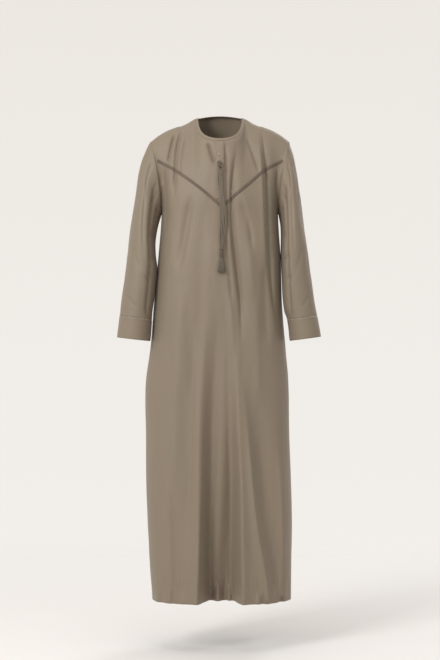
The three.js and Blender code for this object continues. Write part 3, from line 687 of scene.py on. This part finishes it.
class RobeClothSettings(bpy.types.PropertyGroup):
    thickness: size_setting("Cloth thickness", 0.0008, "Thickness of one layer of cloth", min=0.0003)
    hem_depth: size_setting("Hem depth", 0.060, "How far the hem is folded up inside")
    fold_gap: size_setting("Fold gap", 0.0022, "Outer face to inner face of a folded edge")
    tuck_gap: size_setting("Tuck gap", 0.0018, "Outer face to the seam allowance turned under it")
    cuff_fold: size_setting("Cuff fold", 0.045, "How far a cuff is folded in")


class RobeFinishSettings(bpy.types.PropertyGroup):
    warp: colour_setting("Warp colour", (0.196, 0.151, 0.112), "Browner thread of the cloth")
    weft: colour_setting("Weft colour", (0.188, 0.155, 0.111), "Greener thread of the cloth")
    braid: colour_setting("Braid colour", (0.118, 0.088, 0.064), "Lighter thread of the braid")
    braid_shade: colour_setting("Braid shade", (0.090, 0.068, 0.050), "Darker thread of the braid")
    tassel: colour_setting("Tassel colour", (0.140, 0.115, 0.084), "Lighter thread of the tassel")
    tassel_shade: colour_setting("Tassel shade", (0.100, 0.080, 0.058), "Darker thread of the tassel")
    metal: colour_setting("Snap colour", (0.30, 0.26, 0.21), "Metal of the snap")


class RobeStageSettings(bpy.types.PropertyGroup):
    floor_z: size_setting("Floor height", -1.585, "Height of the floor under the wearer's soles")
    camera_distance: size_setting("Camera distance", 5.5, "Camera to the robe's middle plane")
    camera_height: size_setting("Camera height", -0.636, "Height of the level camera")
    key_power: power_setting("Key light", 150, "Power of the left light")
    top_power: power_setting("Top light", 22, "Power of the top light")
    back_power: power_setting("Back light", 120, "Power of the rear light")
    surround_light: FloatProperty(
        name="Surroundings", description="Brightness of the pale surroundings", default=1.0)
    lens: FloatProperty(name="Lens", description="Focal length", default=100.0, unit="CAMERA")


# ---------- stage ----------


SKY_BELOW, SKY_ABOVE = (0.914, 0.888, 0.855), (0.839, 0.799, 0.753)
FLOOR_DARK, FLOOR_LIGHT = (0.70, 0.69, 0.685), (0.72, 0.71, 0.705)
FLOOR_RADIUS = 6.0
FLOOR_FADE = (0.6, 3.4)     # from the origin to where the floor starts and ends to fade
WARM, WHITE = (1, 0.985, 0.96), (1, 1, 1)


def area_light(name, place, target_z, size, energy, colour):
    light = bpy.data.lights.new(name, "AREA")
    light.shape = "RECTANGLE"
    light.size, light.size_y = size
    light.energy = energy
    light.color = colour
    lamp = bpy.data.objects.new(name, light)
    lamp.location = place
    aim = Vector((0, 0, target_z)) - lamp.location
    lamp.rotation_euler = aim.to_track_quat("-Z", "Y").to_euler()
    bpy.context.scene.collection.objects.link(lamp)


class ROBE_OT_make_stage(bpy.types.Operator):
    """Camera, pale floor that fades out, pale surroundings and soft studio lights"""
    bl_idname = "robe.make_stage"
    bl_label = "Stage"

    def execute(self, context):
        stage = context.scene.robe_stage
        camera = bpy.data.cameras.new("Camera")
        camera.lens = stage.lens
        camera.sensor_width = 36
        view = bpy.data.objects.new("Camera", camera)
        view.location = (0, -stage.camera_distance, stage.camera_height)
        view.rotation_euler = (math.radians(90), 0, 0)
        context.scene.collection.objects.link(view)
        context.scene.camera = view
        self.make_floor(stage.floor_z)
        context.scene.view_settings.view_transform = "Standard"
        area_light("Key", (-2.6, -3.7, 1.5), -0.7, (1.5, 2.0), stage.key_power, WARM)
        area_light("Top", (-0.4, -1.2, 2.6), -0.6, (1.8, 1.8), stage.top_power, WHITE)
        area_light("Back", (3.0, 5.4, 3.0), -0.6, (2.4, 2.4), stage.back_power, WHITE)
        self.make_surroundings(context, stage.surround_light)
        return {"FINISHED"}

    def make_surroundings(self, context, strength):
        """Pale, even surroundings, a little brighter below than above."""
        world = bpy.data.worlds.new("Studio")
        context.scene.world = world
        world.use_nodes = True
        tree = world.node_tree
        height = node(tree, "SeparateXYZ", Vector=node(tree, "TexCoord").outputs["Generated"])
        ramp = ranged(tree, height.outputs["Z"], 0.0, 1.0, -0.25, 0.2)
        feed(tree, tree.nodes["Background"], Strength=strength,
             Color=mixed(tree, ramp, SKY_BELOW, SKY_ABOVE))

    def make_floor(self, floor_z):
        """A pale round floor that fades out before its rim."""
        bm = bmesh.new()
        bmesh.ops.create_circle(bm, cap_ends=True, cap_tris=True, segments=96, radius=FLOOR_RADIUS)
        bmesh.ops.translate(bm, verts=bm.verts[:], vec=(0, 0, floor_z))
        mesh = bpy.data.meshes.new("floor")
        bm.to_mesh(mesh)
        bm.free()
        material, tree, shader = new_material("studio_floor")
        place = node(tree, "TexCoord").outputs["Object"]
        mottle = node(tree, "TexNoise", Vector=place, Scale=1.6).outputs["Fac"]
        flat = node(tree, "Mapping", Vector=place, Scale=(1, 1, 0))
        reach = node(tree, "VectorMath", operation="LENGTH", Vector=flat.outputs["Vector"])
        fade = ranged(tree, reach.outputs["Value"], 1.0, 0.0, *FLOOR_FADE,
                      interpolation_type="SMOOTHSTEP")
        feed(tree, shader, Base_Color=mixed(tree, mottle, FLOOR_DARK, FLOOR_LIGHT), Roughness=0.8,
             Alpha=fade)
        mesh.materials.append(material)
        floor = bpy.data.objects.new("floor", mesh)
        bpy.context.scene.collection.objects.link(floor)


# ---------- panels ----------


class ROBE_OT_make_panels(bpy.types.Operator):
    """The front and the back, from shoulder to folded hem"""
    bl_idname = "robe.make_panels"
    bl_label = "Front and back"

    def execute(self, context):
        cloth = context.scene.robe_cloth
        for name, back, columns, body_rows, seed in (
                ("front", False, 296, 92, 3.0), ("back", True, 190, 84, 11.0)):
            grid = panel_grid(back, columns, body_rows, seed)
            piece = sheet_piece(name, grid, (0.72, 1.50), robe_material("robe_cloth"), cloth.thickness)
            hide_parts(name + "_panel")
        return {"FINISHED"}


class ROBE_OT_make_neck_band(bpy.types.Operator):
    """The narrow finished edge of the neckline"""
    bl_idname = "robe.make_neck_band"
    bl_label = "Neck band"

    def execute(self, context):
        cloth = context.scene.robe_cloth
        half = NECK_POINTS // 2 + 1
        turns = np.concatenate([np.linspace(0, 1, half), np.linspace(1, 0, half)[1:]])
        sides = np.where(np.arange(len(turns)) < half, -1.0, 1.0)
        # The band's face has 8 lines from its seam to the neckline, then 3 that turn it in.
        outs = [*np.linspace(NECK_BAND_WIDTH - SEAM_GAP, 0, 8), -0.0004, -0.0002, 0.004]
        insets = np.array([0.0] * 8 + [0.4, 0.8, 1.0]) * cloth.fold_gap
        crown = np.append(np.sin(np.linspace(0, np.pi, 8)) * NECK_CROWN, [0, 0, 0])
        grid = np.array([np.concatenate([neck_point(False, sides, turns, out),
                                         neck_point(True, -sides, turns, out)[1:]]) for out in outs])
        grid = grid + grid_normals(grid, tube=True)[:1] * (crown - insets)[:, None, None]
        grid[:, -1] = grid[:, 0]
        piece = sheet_piece("neck_edge", grid, (0.46, 0.018), robe_material("robe_cloth"),
                            cloth.thickness, tube=True)
        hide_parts("neck_band")
        return {"FINISHED"}


# ---------- sleeves ----------


def sleeve_folds(angle, run, girth):
    """Height of a sleeve's creases at an angle in degrees and a share of its length."""
    height = np.zeros_like(angle)
    for k, (a0, r0, a1, r1, rise, reach) in enumerate(zip(*SLEEVE_FOLDS.values())):
        turn = (angle - a0 + 180) % 360 - 180
        step_x, step_y = (a1 - a0) / 360 * SLEEVE_GIRTH, (r1 - r0) * SLEEVE_LENGTH
        x, y = turn / 360 * girth, (run - r0) * SLEEVE_LENGTH
        size = np.hypot(step_x, step_y)
        t = (x * step_x + y * step_y) / size ** 2
        off = (x * step_y - y * step_x) / size
        fade = smooth(t / 0.3) * smooth((1 - t) / 0.3)
        bow = SLEEVE_BOW * np.sin(np.pi * np.clip(t, 0, 1)) * (1 if k % 2 else -1) * size
        height += rise * fade * np.exp(-(np.abs(off + bow) / reach) ** SLEEVE_CRISP)
    return height


def sleeve_grid(side, table, runs):
    """Points of a sleeve, with their angles and its girth. runs go from 0 at the armhole to 1."""
    u, run = np.meshgrid(np.linspace(0, 1, SLEEVE_POINTS + 1), runs)
    angle = side * -180 * (1 - 2 * u)
    c, s = np.cos(np.radians(angle)), np.sin(np.radians(angle))

    def at(column, first):
        return through(np.concatenate([[first], table[column]]), run)
    out_x, out_z = at("out_x", ARMHOLE.tip_x), at("out_z", ARMHOLE.tip_z)
    in_x, in_z = at("in_x", ARMHOLE.base_x), at("in_z", ARMPIT_Z)
    mid_y, depth = at("mid_y", 0.0), at("depth", 2 * ARMHOLE.half_depth)
    hollow = ARMHOLE.hollow * s * s * smooth(1 - run * len(table["out_x"]))
    x = (out_x + in_x) / 2 + (out_x - in_x) / 2 * c - hollow + ARMHOLE_GAP * (run < 0.02)
    grid = stack(side * x, mid_y - depth / 2 * s, (out_z + in_z) / 2 + (out_z - in_z) / 2 * c)
    girth = np.pi * np.sqrt((np.hypot(out_x - in_x, out_z - in_z) ** 2 + depth ** 2) / 2)
    return grid, angle, girth


class ROBE_OT_make_sleeves(bpy.types.Operator):
    """Both sleeves and their cuff bands"""
    bl_idname = "robe.make_sleeves"
    bl_label = "Sleeves and cuffs"

    def execute(self, context):
        cloth = context.scene.robe_cloth
        for name, side, table in (("right", -1, SLEEVE_RIGHT), ("left", 1, SLEEVE_LEFT)):
            rings = len(table["out_x"])
            seam = (rings - 1) / rings
            runs = np.linspace(0, seam, SLEEVE_ROWS)
            grid, angle, girth = sleeve_grid(side, table, runs)
            share = runs[:, None] / seam
            ease = smooth(share / 0.05) * smooth((1 - share) / 0.05)
            height = sleeve_folds(angle, share + 0 * angle, girth) * ease
            grid += grid_normals(grid, tube=True) * height[..., None]
            ease = ease * (0.55 + 0.45 * np.cos(np.radians(angle)))
            grid = roughen(grid, *SLEEVE_WIDE, 20 + side, ease, tube=True)
            grid = roughen(grid, *SLEEVE_FINE, 26 + side, ease, tube=True)
            grid = tuck(grid, grid_normals(grid, tube=True), cloth.tuck_gap, axis=0)
            grid[:, -1] = grid[:, 0]
            piece = sheet_piece("sleeve_" + name + "_cloth", grid, (0.46, 0.55),
                                robe_material("robe_cloth"), cloth.thickness, tube=True)
            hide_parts("sleeve_" + name)
            self.make_cuff(name, side, table, seam, cloth)
        return {"FINISHED"}

    def make_cuff(self, name, side, table, seam, cloth):
        outer = [(k / 12, 0.0, 0.0) for k in range(13)]
        inner = [(1 - run / CUFF_BAND, inset, drop)
                 for run, inset, drop in reversed(turned_edge(cloth.cuff_fold, cloth.fold_gap))]
        share, inset, drop = (np.array(column) for column in zip(*outer, *inner))
        grid, _, _ = sleeve_grid(side, table, mix(seam + SEAM_SHARE, 1, share))
        level_out = unit(np.cross(np.gradient(grid, axis=1), np.array([0, 0, -1.0])))
        crown = CUFF_CROWN * np.minimum(1, share * 14) * (inset == 0)
        grid += level_out * (crown - inset)[:, None, None]
        grid[..., 2] -= drop[:, None]
        grid = roughen(grid, *CUFF_ROUGH, 30 + side, inset[:, None] == 0, tube=True)
        grid = tuck(grid, level_out, cloth.tuck_gap, axis=0, end=False)
        grid[:, -1] = grid[:, 0]
        piece = sheet_piece("cuff_" + name + "_cloth", grid, (0.34, 0.11),
                            robe_material("robe_cloth"), cloth.thickness, tube=True)
        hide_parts("cuff_" + name)


# ---------- what lies on the front ----------


class Surface:
    """Places on a finished piece, found straight through it from one side. facing -1 is the front."""

    def __init__(self, piece="front", facing=-1):
        graph = bpy.context.evaluated_depsgraph_get()
        self.tree = BVHTree.FromObject(bpy.data.objects[piece], graph)
        self.facing_y = facing

    def point(self, x, z):
        hit = self.tree.ray_cast(Vector((x, self.facing_y, z)), Vector((0, -self.facing_y, 0)))[0]
        if hit is None:
            raise RuntimeError(f"no cloth behind x {x:.3f}, z {z:.3f}")
        return np.array(hit)

    def facing(self, x, z, step=0.003):
        across = self.point(x + step, z) - self.point(x - step, z)
        up = self.point(x, z) - self.point(x, z - step)
        normal = -self.facing_y * np.cross(across, up)
        return normal / np.linalg.norm(normal)

    def above(self, x, z, distance):
        return self.point(x, z) + self.facing(x, z) * distance


def strip_grid(surface, places, lifts):
    """A strip on the front: places[row][column] as (x, z), and each column's lift."""
    return np.array([[surface.above(x, z, lift) for (x, z), lift in zip(row, lifts)] for row in places])


class ROBE_OT_make_placket(bpy.types.Operator):
    """The placket strip under the neckline, and its snap"""
    bl_idname = "robe.make_placket"
    bl_label = "Placket and snap"

    def execute(self, context):
        surface = Surface()
        top_z = float(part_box("placket")[1][2])
        section = [(-a, lift) for a, lift in PLACKET_SECTION[:0:-1]] + PLACKET_SECTION
        places = [[(a * PLACKET.half_width, mix(PLACKET.bottom_z, top_z, t)) for a, _ in section]
                  for t in np.linspace(0, 1, 70)]
        grid = strip_grid(surface, places, [lift for _, lift in section])
        piece = sheet_piece("placket_strip", grid, (0.026, 0.175), robe_material("robe_cloth"),
                            PLACKET.cloth)
        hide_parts("placket")
        self.make_snap(surface)
        return {"FINISHED"}

    def make_snap(self, surface):
        radius = SNAP.radius
        outline = [(0.0, 0.0016), (0.25, 0.00155), (0.45, 0.0013), (0.55, 0.0009), (0.62, 0.0011),
                   (0.85, 0.0010), (1.0, 0.0006), (1.0, 0.0)]
        bm = bmesh.new()
        bm.loops.layers.uv.verify()
        verts = [bm.verts.new((r * radius, 0, h)) for r, h in outline]
        for a, b in zip(verts, verts[1:]):
            bm.edges.new((a, b))
        bmesh.ops.spin(bm, geom=bm.verts[:] + bm.edges[:], cent=(0, 0, 0), axis=(0, 0, 1),
                       angle=math.tau, steps=32, use_merge=True)
        bmesh.ops.remove_doubles(bm, verts=bm.verts[:], dist=1e-6)
        rim = [edge for edge in bm.edges if edge.is_boundary]
        bmesh.ops.holes_fill(bm, edges=rim)
        bmesh.ops.recalc_face_normals(bm, faces=bm.faces[:])
        for face in bm.faces:
            face.smooth = len(face.verts) < 6
        normal = Vector(surface.facing(SNAP.x, SNAP.z))
        bm.transform(normal.to_track_quat("Z", "Y").to_matrix().to_4x4())
        place = Vector(surface.above(SNAP.x, SNAP.z, SNAP.lift))
        bmesh.ops.translate(bm, verts=bm.verts[:], vec=place)
        piece = finish_mesh(bm, "snap_cap", robe_material("robe_metal"))
        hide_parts("snap")


class ROBE_OT_make_braid(bpy.types.Operator):
    """The two braids that meet in a V on the chest"""
    bl_idname = "robe.make_braid"
    bl_label = "Braid"

    def execute(self, context):
        surface = Surface()
        for name, table in (("right", TRIM_RIGHT), ("left", TRIM_LEFT)):
            t = np.linspace(0, 1, 261)
            x, z = through(table["x"], t), through(table["z"], t)
            dx, dz = np.gradient(x), np.gradient(z)
            dx, dz = np.array([dx, dz]) / np.hypot(dx, dz)
            run = run_along(np.stack([x, z], axis=-1))
            across = np.linspace(-0.5, 0.5, 13) * TRIM.width
            places = np.stack([x[:, None] + np.outer(dz, across),
                               z[:, None] - np.outer(dx, across)], axis=-1)
            grid = strip_grid(surface, places, [TRIM.lift] * len(across))
            crown = TRIM.crown * (1 - (2 * np.abs(across) / TRIM.width) ** 4)
            turns = (run[:, None] + np.abs(across)) / TRIM.plait_pitch
            plait = TRIM.plait * np.abs(np.sin(turns * math.pi))
            grid = grid + grid_normals(grid) * (crown + plait)[..., None]
            piece = sheet_piece("braid_" + name, grid, (TRIM.width, float(run[-1])),
                                robe_material("robe_braid"), TRIM.cloth)
            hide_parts("trim_" + name)
        return {"FINISHED"}


def add_stitches(bm, line, normals):
    """Short stitches laid end to end along a line of points on the cloth."""
    row = bmesh.new()
    line, normals = np.asarray(line), np.asarray(normals)
    run = run_along(line)
    pitch = STITCH.pitch

    def at(distance, values):
        return Vector([np.interp(distance, run, values[:, k]) for k in range(3)])
    for distance in np.arange(pitch / 2, run[-1], pitch):
        place = at(distance, line)
        out = at(distance, normals).normalized()
        along = (at(distance + pitch / 4, line) - place).normalized()
        side = out.cross(along).normalized()
        turn = Matrix((along, side, along.cross(side))).transposed().to_4x4()
        size = Matrix.Diagonal((*STITCH.size, 1))
        move = Matrix.Translation(place + out * STITCH.lift)
        bmesh.ops.create_uvsphere(row, u_segments=6, v_segments=4, radius=1, matrix=move @ turn @ size)
    made = bpy.data.meshes.new("row")
    row.to_mesh(made)
    row.free()
    bm.from_mesh(made)
    bpy.data.meshes.remove(made)


class ROBE_OT_make_stitches(bpy.types.Operator):
    """The rows of stitching along the hem, the placket and the cuffs"""
    bl_idname = "robe.make_stitches"
    bl_label = "Stitches"

    def execute(self, context):
        hem_z = HEM_Z + context.scene.robe_cloth.hem_depth
        top_z = float(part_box("placket")[1][2])
        bm = bmesh.new()
        bm.loops.layers.uv.verify()
        for piece, facing in (("front", -1), ("back", 1)):
            start, end = [(x, hem_z) for x in HEM_STITCHES]
            self.add_row(bm, Surface(piece, facing), start, end, 130)
        for x in (-PLACKET.stitch_x, PLACKET.stitch_x):
            self.add_row(bm, Surface("placket_strip"), (x, PLACKET.bottom_z + 0.003),
                         (x, top_z - 0.002), 60)
        for name, side in (("right", -1), ("left", 1)):
            low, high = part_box("cuff_" + name)
            outer, inner = (low[0], high[0]) if side < 0 else (high[0], low[0])
            for facing in (-1, 1):
                start, end = [(mix(outer, inner, share), high[2] - drop) for share, drop in CUFF_STITCHES]
                self.add_row(bm, Surface(f"cuff_{name}_cloth", facing), start, end, 30)
        for face in bm.faces:
            face.smooth = True
        piece = finish_mesh(bm, "stitches", robe_material("robe_thread"))
        return {"FINISHED"}

    def add_row(self, bm, surface, start, end, steps):
        """A straight row of stitches between two places given as (x, z)."""
        places = [(mix(start[0], end[0], k / steps), mix(start[1], end[1], k / steps))
                  for k in range(steps + 1)]
        add_stitches(bm, [surface.point(x, z) for x, z in places],
                     [surface.facing(x, z, 0.0015) for x, z in places])


# ---------- tassel ----------

BUNDLE = Named(half_width=0.0074, half_depth=0.0023, strand=0.0018, twist=0.00016)
BINDING = Named(turns=9, radius=0.0046, swell=0.0008, flatness=0.72, inset=0.0014,
                thread=0.00115, core=0.0042, forward=0.0014)
FRINGE_THREADS = 74
GOLDEN_ANGLE = 2.399963


def tube_grid(path, radius, sides):
    """Rings round a path of points, with one radius or one for each point."""
    path = np.asarray(path, dtype=float)
    radius = np.broadcast_to(radius, len(path))
    along = unit(np.gradient(path, axis=0))
    side = unit(np.cross(along, np.array([0.0, -1.0, 0.001])))
    up = np.cross(along, side)
    angle = np.linspace(0, math.tau, sides + 1)
    return (path[:, None] + radius[:, None, None]
            * (side[:, None] * np.cos(angle)[None, :, None] - up[:, None] * np.sin(angle)[None, :, None]))


def add_tube(bm, path, radius, sides):
    grid = tube_grid(path, radius, sides)
    grid[:, -1] = grid[:, 0]
    before = set(bm.verts)
    grid_mesh(bm, grid, (math.tau * float(np.mean(radius)), run_along(path)[-1]), tube=True)
    new = {vert for vert in bm.verts if vert not in before}
    rim = [edge for edge in bm.edges if edge.is_boundary and edge.verts[0] in new]
    bmesh.ops.holes_fill(bm, edges=rim)


def add_core(bm, centre, heights, radius, sides):
    """A plain upright filling with a ring at each height, and one radius or one for each ring."""
    add_tube(bm, stack(centre[0], centre[1], heights), radius, sides)


def box_of(name):
    """Low corner, high corner and centre of one of the frame's nodes."""
    low, high = (np.array(corner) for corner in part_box(name))
    return low, high, (low + high) / 2


class ROBE_OT_make_tassel(bpy.types.Operator):
    """The knot, the hanging bundle of threads, its binding and its fringe"""
    bl_idname = "robe.make_tassel"
    bl_label = "Tassel"

    def execute(self, context):
        knot = self.make_knot()
        binding = self.make_binding()
        fringe = self.make_fringe()
        self.make_bundle([knot, binding, fringe])
        return {"FINISHED"}

    def make_bundle(self, others):
        """Strands side by side in a flat bundle, each slightly wandering."""
        t = np.linspace(0, 1, 64)
        path = stack(*(through(places, t) for places in zip(*TASSEL_ROUTE)))
        bm = bmesh.new()
        strands = [(-0.86, 0.0), (-0.55, -0.62), (-0.5, 0.55), (-0.2, -0.1), (0.0, -0.8), (0.08, 0.7),
                   (0.3, -0.15), (0.5, -0.65), (0.55, 0.55), (0.86, 0.0)]
        squeeze = through([0.95, 1.15, 1.12, 0.88, 0.95, 1.22, 1.22, 0.72], t)
        for k, (a, b) in enumerate(strands):
            wander = 0.12 * np.sin(math.tau * (t * 1.4 + k * 0.37))
            offset = stack((a + wander) * BUNDLE.half_width * squeeze,
                           (b - wander) * BUNDLE.half_depth, 0)
            twist = BUNDLE.strand + BUNDLE.twist * np.sin(math.tau * t * 30 + k)
            add_tube(bm, path + offset, twist * (0.8 + 0.2 * squeeze), 8)
        piece = finish_mesh(bm, "tassel_bundle", robe_material("robe_thread"))
        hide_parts("tassel_cord")
        length = float(run_along(path)[-1])
        [tuple(p) for p in path]

    def make_knot(self):
        """A chain of flat loops, each passed through the one above."""
        low, high, centre = box_of("tassel_knot")
        bm = bmesh.new()
        angle = np.linspace(0, math.tau, 29)
        half_width = (high[0] - low[0]) / 2 - 0.0032
        for k in range(4):
            middle_x = centre[0] + (0.0014 if k % 2 else -0.0014)
            middle_y = centre[1] + 0.0022 - 0.0056 * k / 3 - 0.0012 * (k % 2)
            middle_z = mix(high[2] - 0.004, low[2] + 0.005, k / 3)
            loop = stack(middle_x + half_width * np.sin(angle) * (1 + 0.22 * np.cos(angle)),
                         middle_y - 0.0012 * np.sin(2 * angle),
                         middle_z + 0.0042 * np.cos(angle) + 0.0010 * np.sin(angle + k))
            self.add_ring(bm, loop, 0.0018)
        piece = finish_mesh(bm, "tassel_knot_loops", robe_material("robe_braid"))
        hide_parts("tassel_knot")
        return piece

    def add_ring(self, bm, loop, radius):
        """A closed tube round a loop whose last point is its first."""
        grid = tube_grid(loop, radius, 8)
        grid[-1] = grid[0]
        grid[:, -1] = grid[:, 0]
        grid_mesh(bm, grid, (0.01, 0.03), tube=True)

    def make_binding(self):
        low, high, centre = box_of("tassel_head")
        centre[1] -= BINDING.forward
        bm = bmesh.new()
        t = np.linspace(0, 1, BINDING.turns * 24 + 1)
        angle = math.tau * BINDING.turns * t
        swell = BINDING.radius + BINDING.swell * np.sin(math.pi * t)
        y = centre[1] + BINDING.flatness * swell * np.sin(angle)
        z = mix(high[2] - BINDING.inset, low[2] + BINDING.inset, t)
        add_tube(bm, stack(centre[0] + swell * np.cos(angle), y, z), BINDING.thread, 6)
        add_core(bm, centre, np.linspace(high[2], low[2], 7), BINDING.core, 16)
        piece = finish_mesh(bm, "tassel_binding", robe_material("robe_braid"))
        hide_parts("tassel_head")
        return piece

    def make_fringe(self):
        low, high, centre = box_of("tassel_skirt")
        half_width, half_depth = (high[0] - low[0]) / 2, (high[1] - low[1]) / 2
        bm = bmesh.new()
        for k in range(FRINGE_THREADS):
            reach = math.sqrt((k + 0.5) / FRINGE_THREADS)
            angle = k * GOLDEN_ANGLE
            drift = 0.06 * math.sin(k * 1.7)
            t = np.linspace(0, 1, 9)
            spread = 0.34 + 0.58 * t ** 0.8
            x = centre[0] + half_width * spread * reach * np.cos(angle + drift * t)
            y = centre[1] + half_depth * spread * reach * np.sin(angle + drift * t)
            end = low[2] + 0.0006 + 0.0016 * (0.5 + 0.5 * math.sin(k * 2.3))
            add_tube(bm, stack(x, y, mix(high[2] - 0.0002, end, t)), np.linspace(0.0009, 0.00105, 9), 5)
        add_core(bm, centre, np.linspace(high[2], low[2] + 0.006, 6), np.linspace(0.003, 0.0048, 6), 12)
        piece = finish_mesh(bm, "tassel_fringe", robe_material("robe_thread"))
        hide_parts("tassel_skirt")
        return piece


# ---------- panel in the sidebar ----------

STEPS = (ROBE_OT_make_stage, ROBE_OT_make_tassel, ROBE_OT_make_panels, ROBE_OT_make_neck_band,
         ROBE_OT_make_sleeves, ROBE_OT_make_placket, ROBE_OT_make_braid, ROBE_OT_make_stitches)


class ROBE_PT_panel(bpy.types.Panel):
    """Lists the robe's settings and the steps that build it"""
    bl_label = "Robe"
    bl_idname = "ROBE_PT_panel"
    bl_space_type = "VIEW_3D"
    bl_region_type = "UI"
    bl_category = "Robe"

    def draw(self, context):
        scene = context.scene
        for group in (scene.robe_cloth, scene.robe_finish, scene.robe_stage):
            for name in group.__annotations__:
                self.layout.prop(group, name)
        for step in STEPS:
            self.layout.operator(step.bl_idname)


SETTINGS = {"robe_cloth": RobeClothSettings, "robe_finish": RobeFinishSettings,
            "robe_stage": RobeStageSettings}


def register():
    for made in (*SETTINGS.values(), *STEPS, ROBE_PT_panel):
        bpy.utils.register_class(made)
    for name, settings in SETTINGS.items():
        setattr(bpy.types.Scene, name, PointerProperty(type=settings))


def unregister():
    for name in SETTINGS:
        delattr(bpy.types.Scene, name)
    for made in reversed((*SETTINGS.values(), *STEPS, ROBE_PT_panel)):
        bpy.utils.unregister_class(made)


def main():
    register()
    bpy.ops.robe.make_stage()
    bpy.ops.robe.make_tassel()
    bpy.ops.robe.make_panels()
    bpy.ops.robe.make_neck_band()
    bpy.ops.robe.make_sleeves()
    bpy.ops.robe.make_placket()
    bpy.ops.robe.make_braid()
    bpy.ops.robe.make_stitches()


if __name__ == "__main__":
    main()
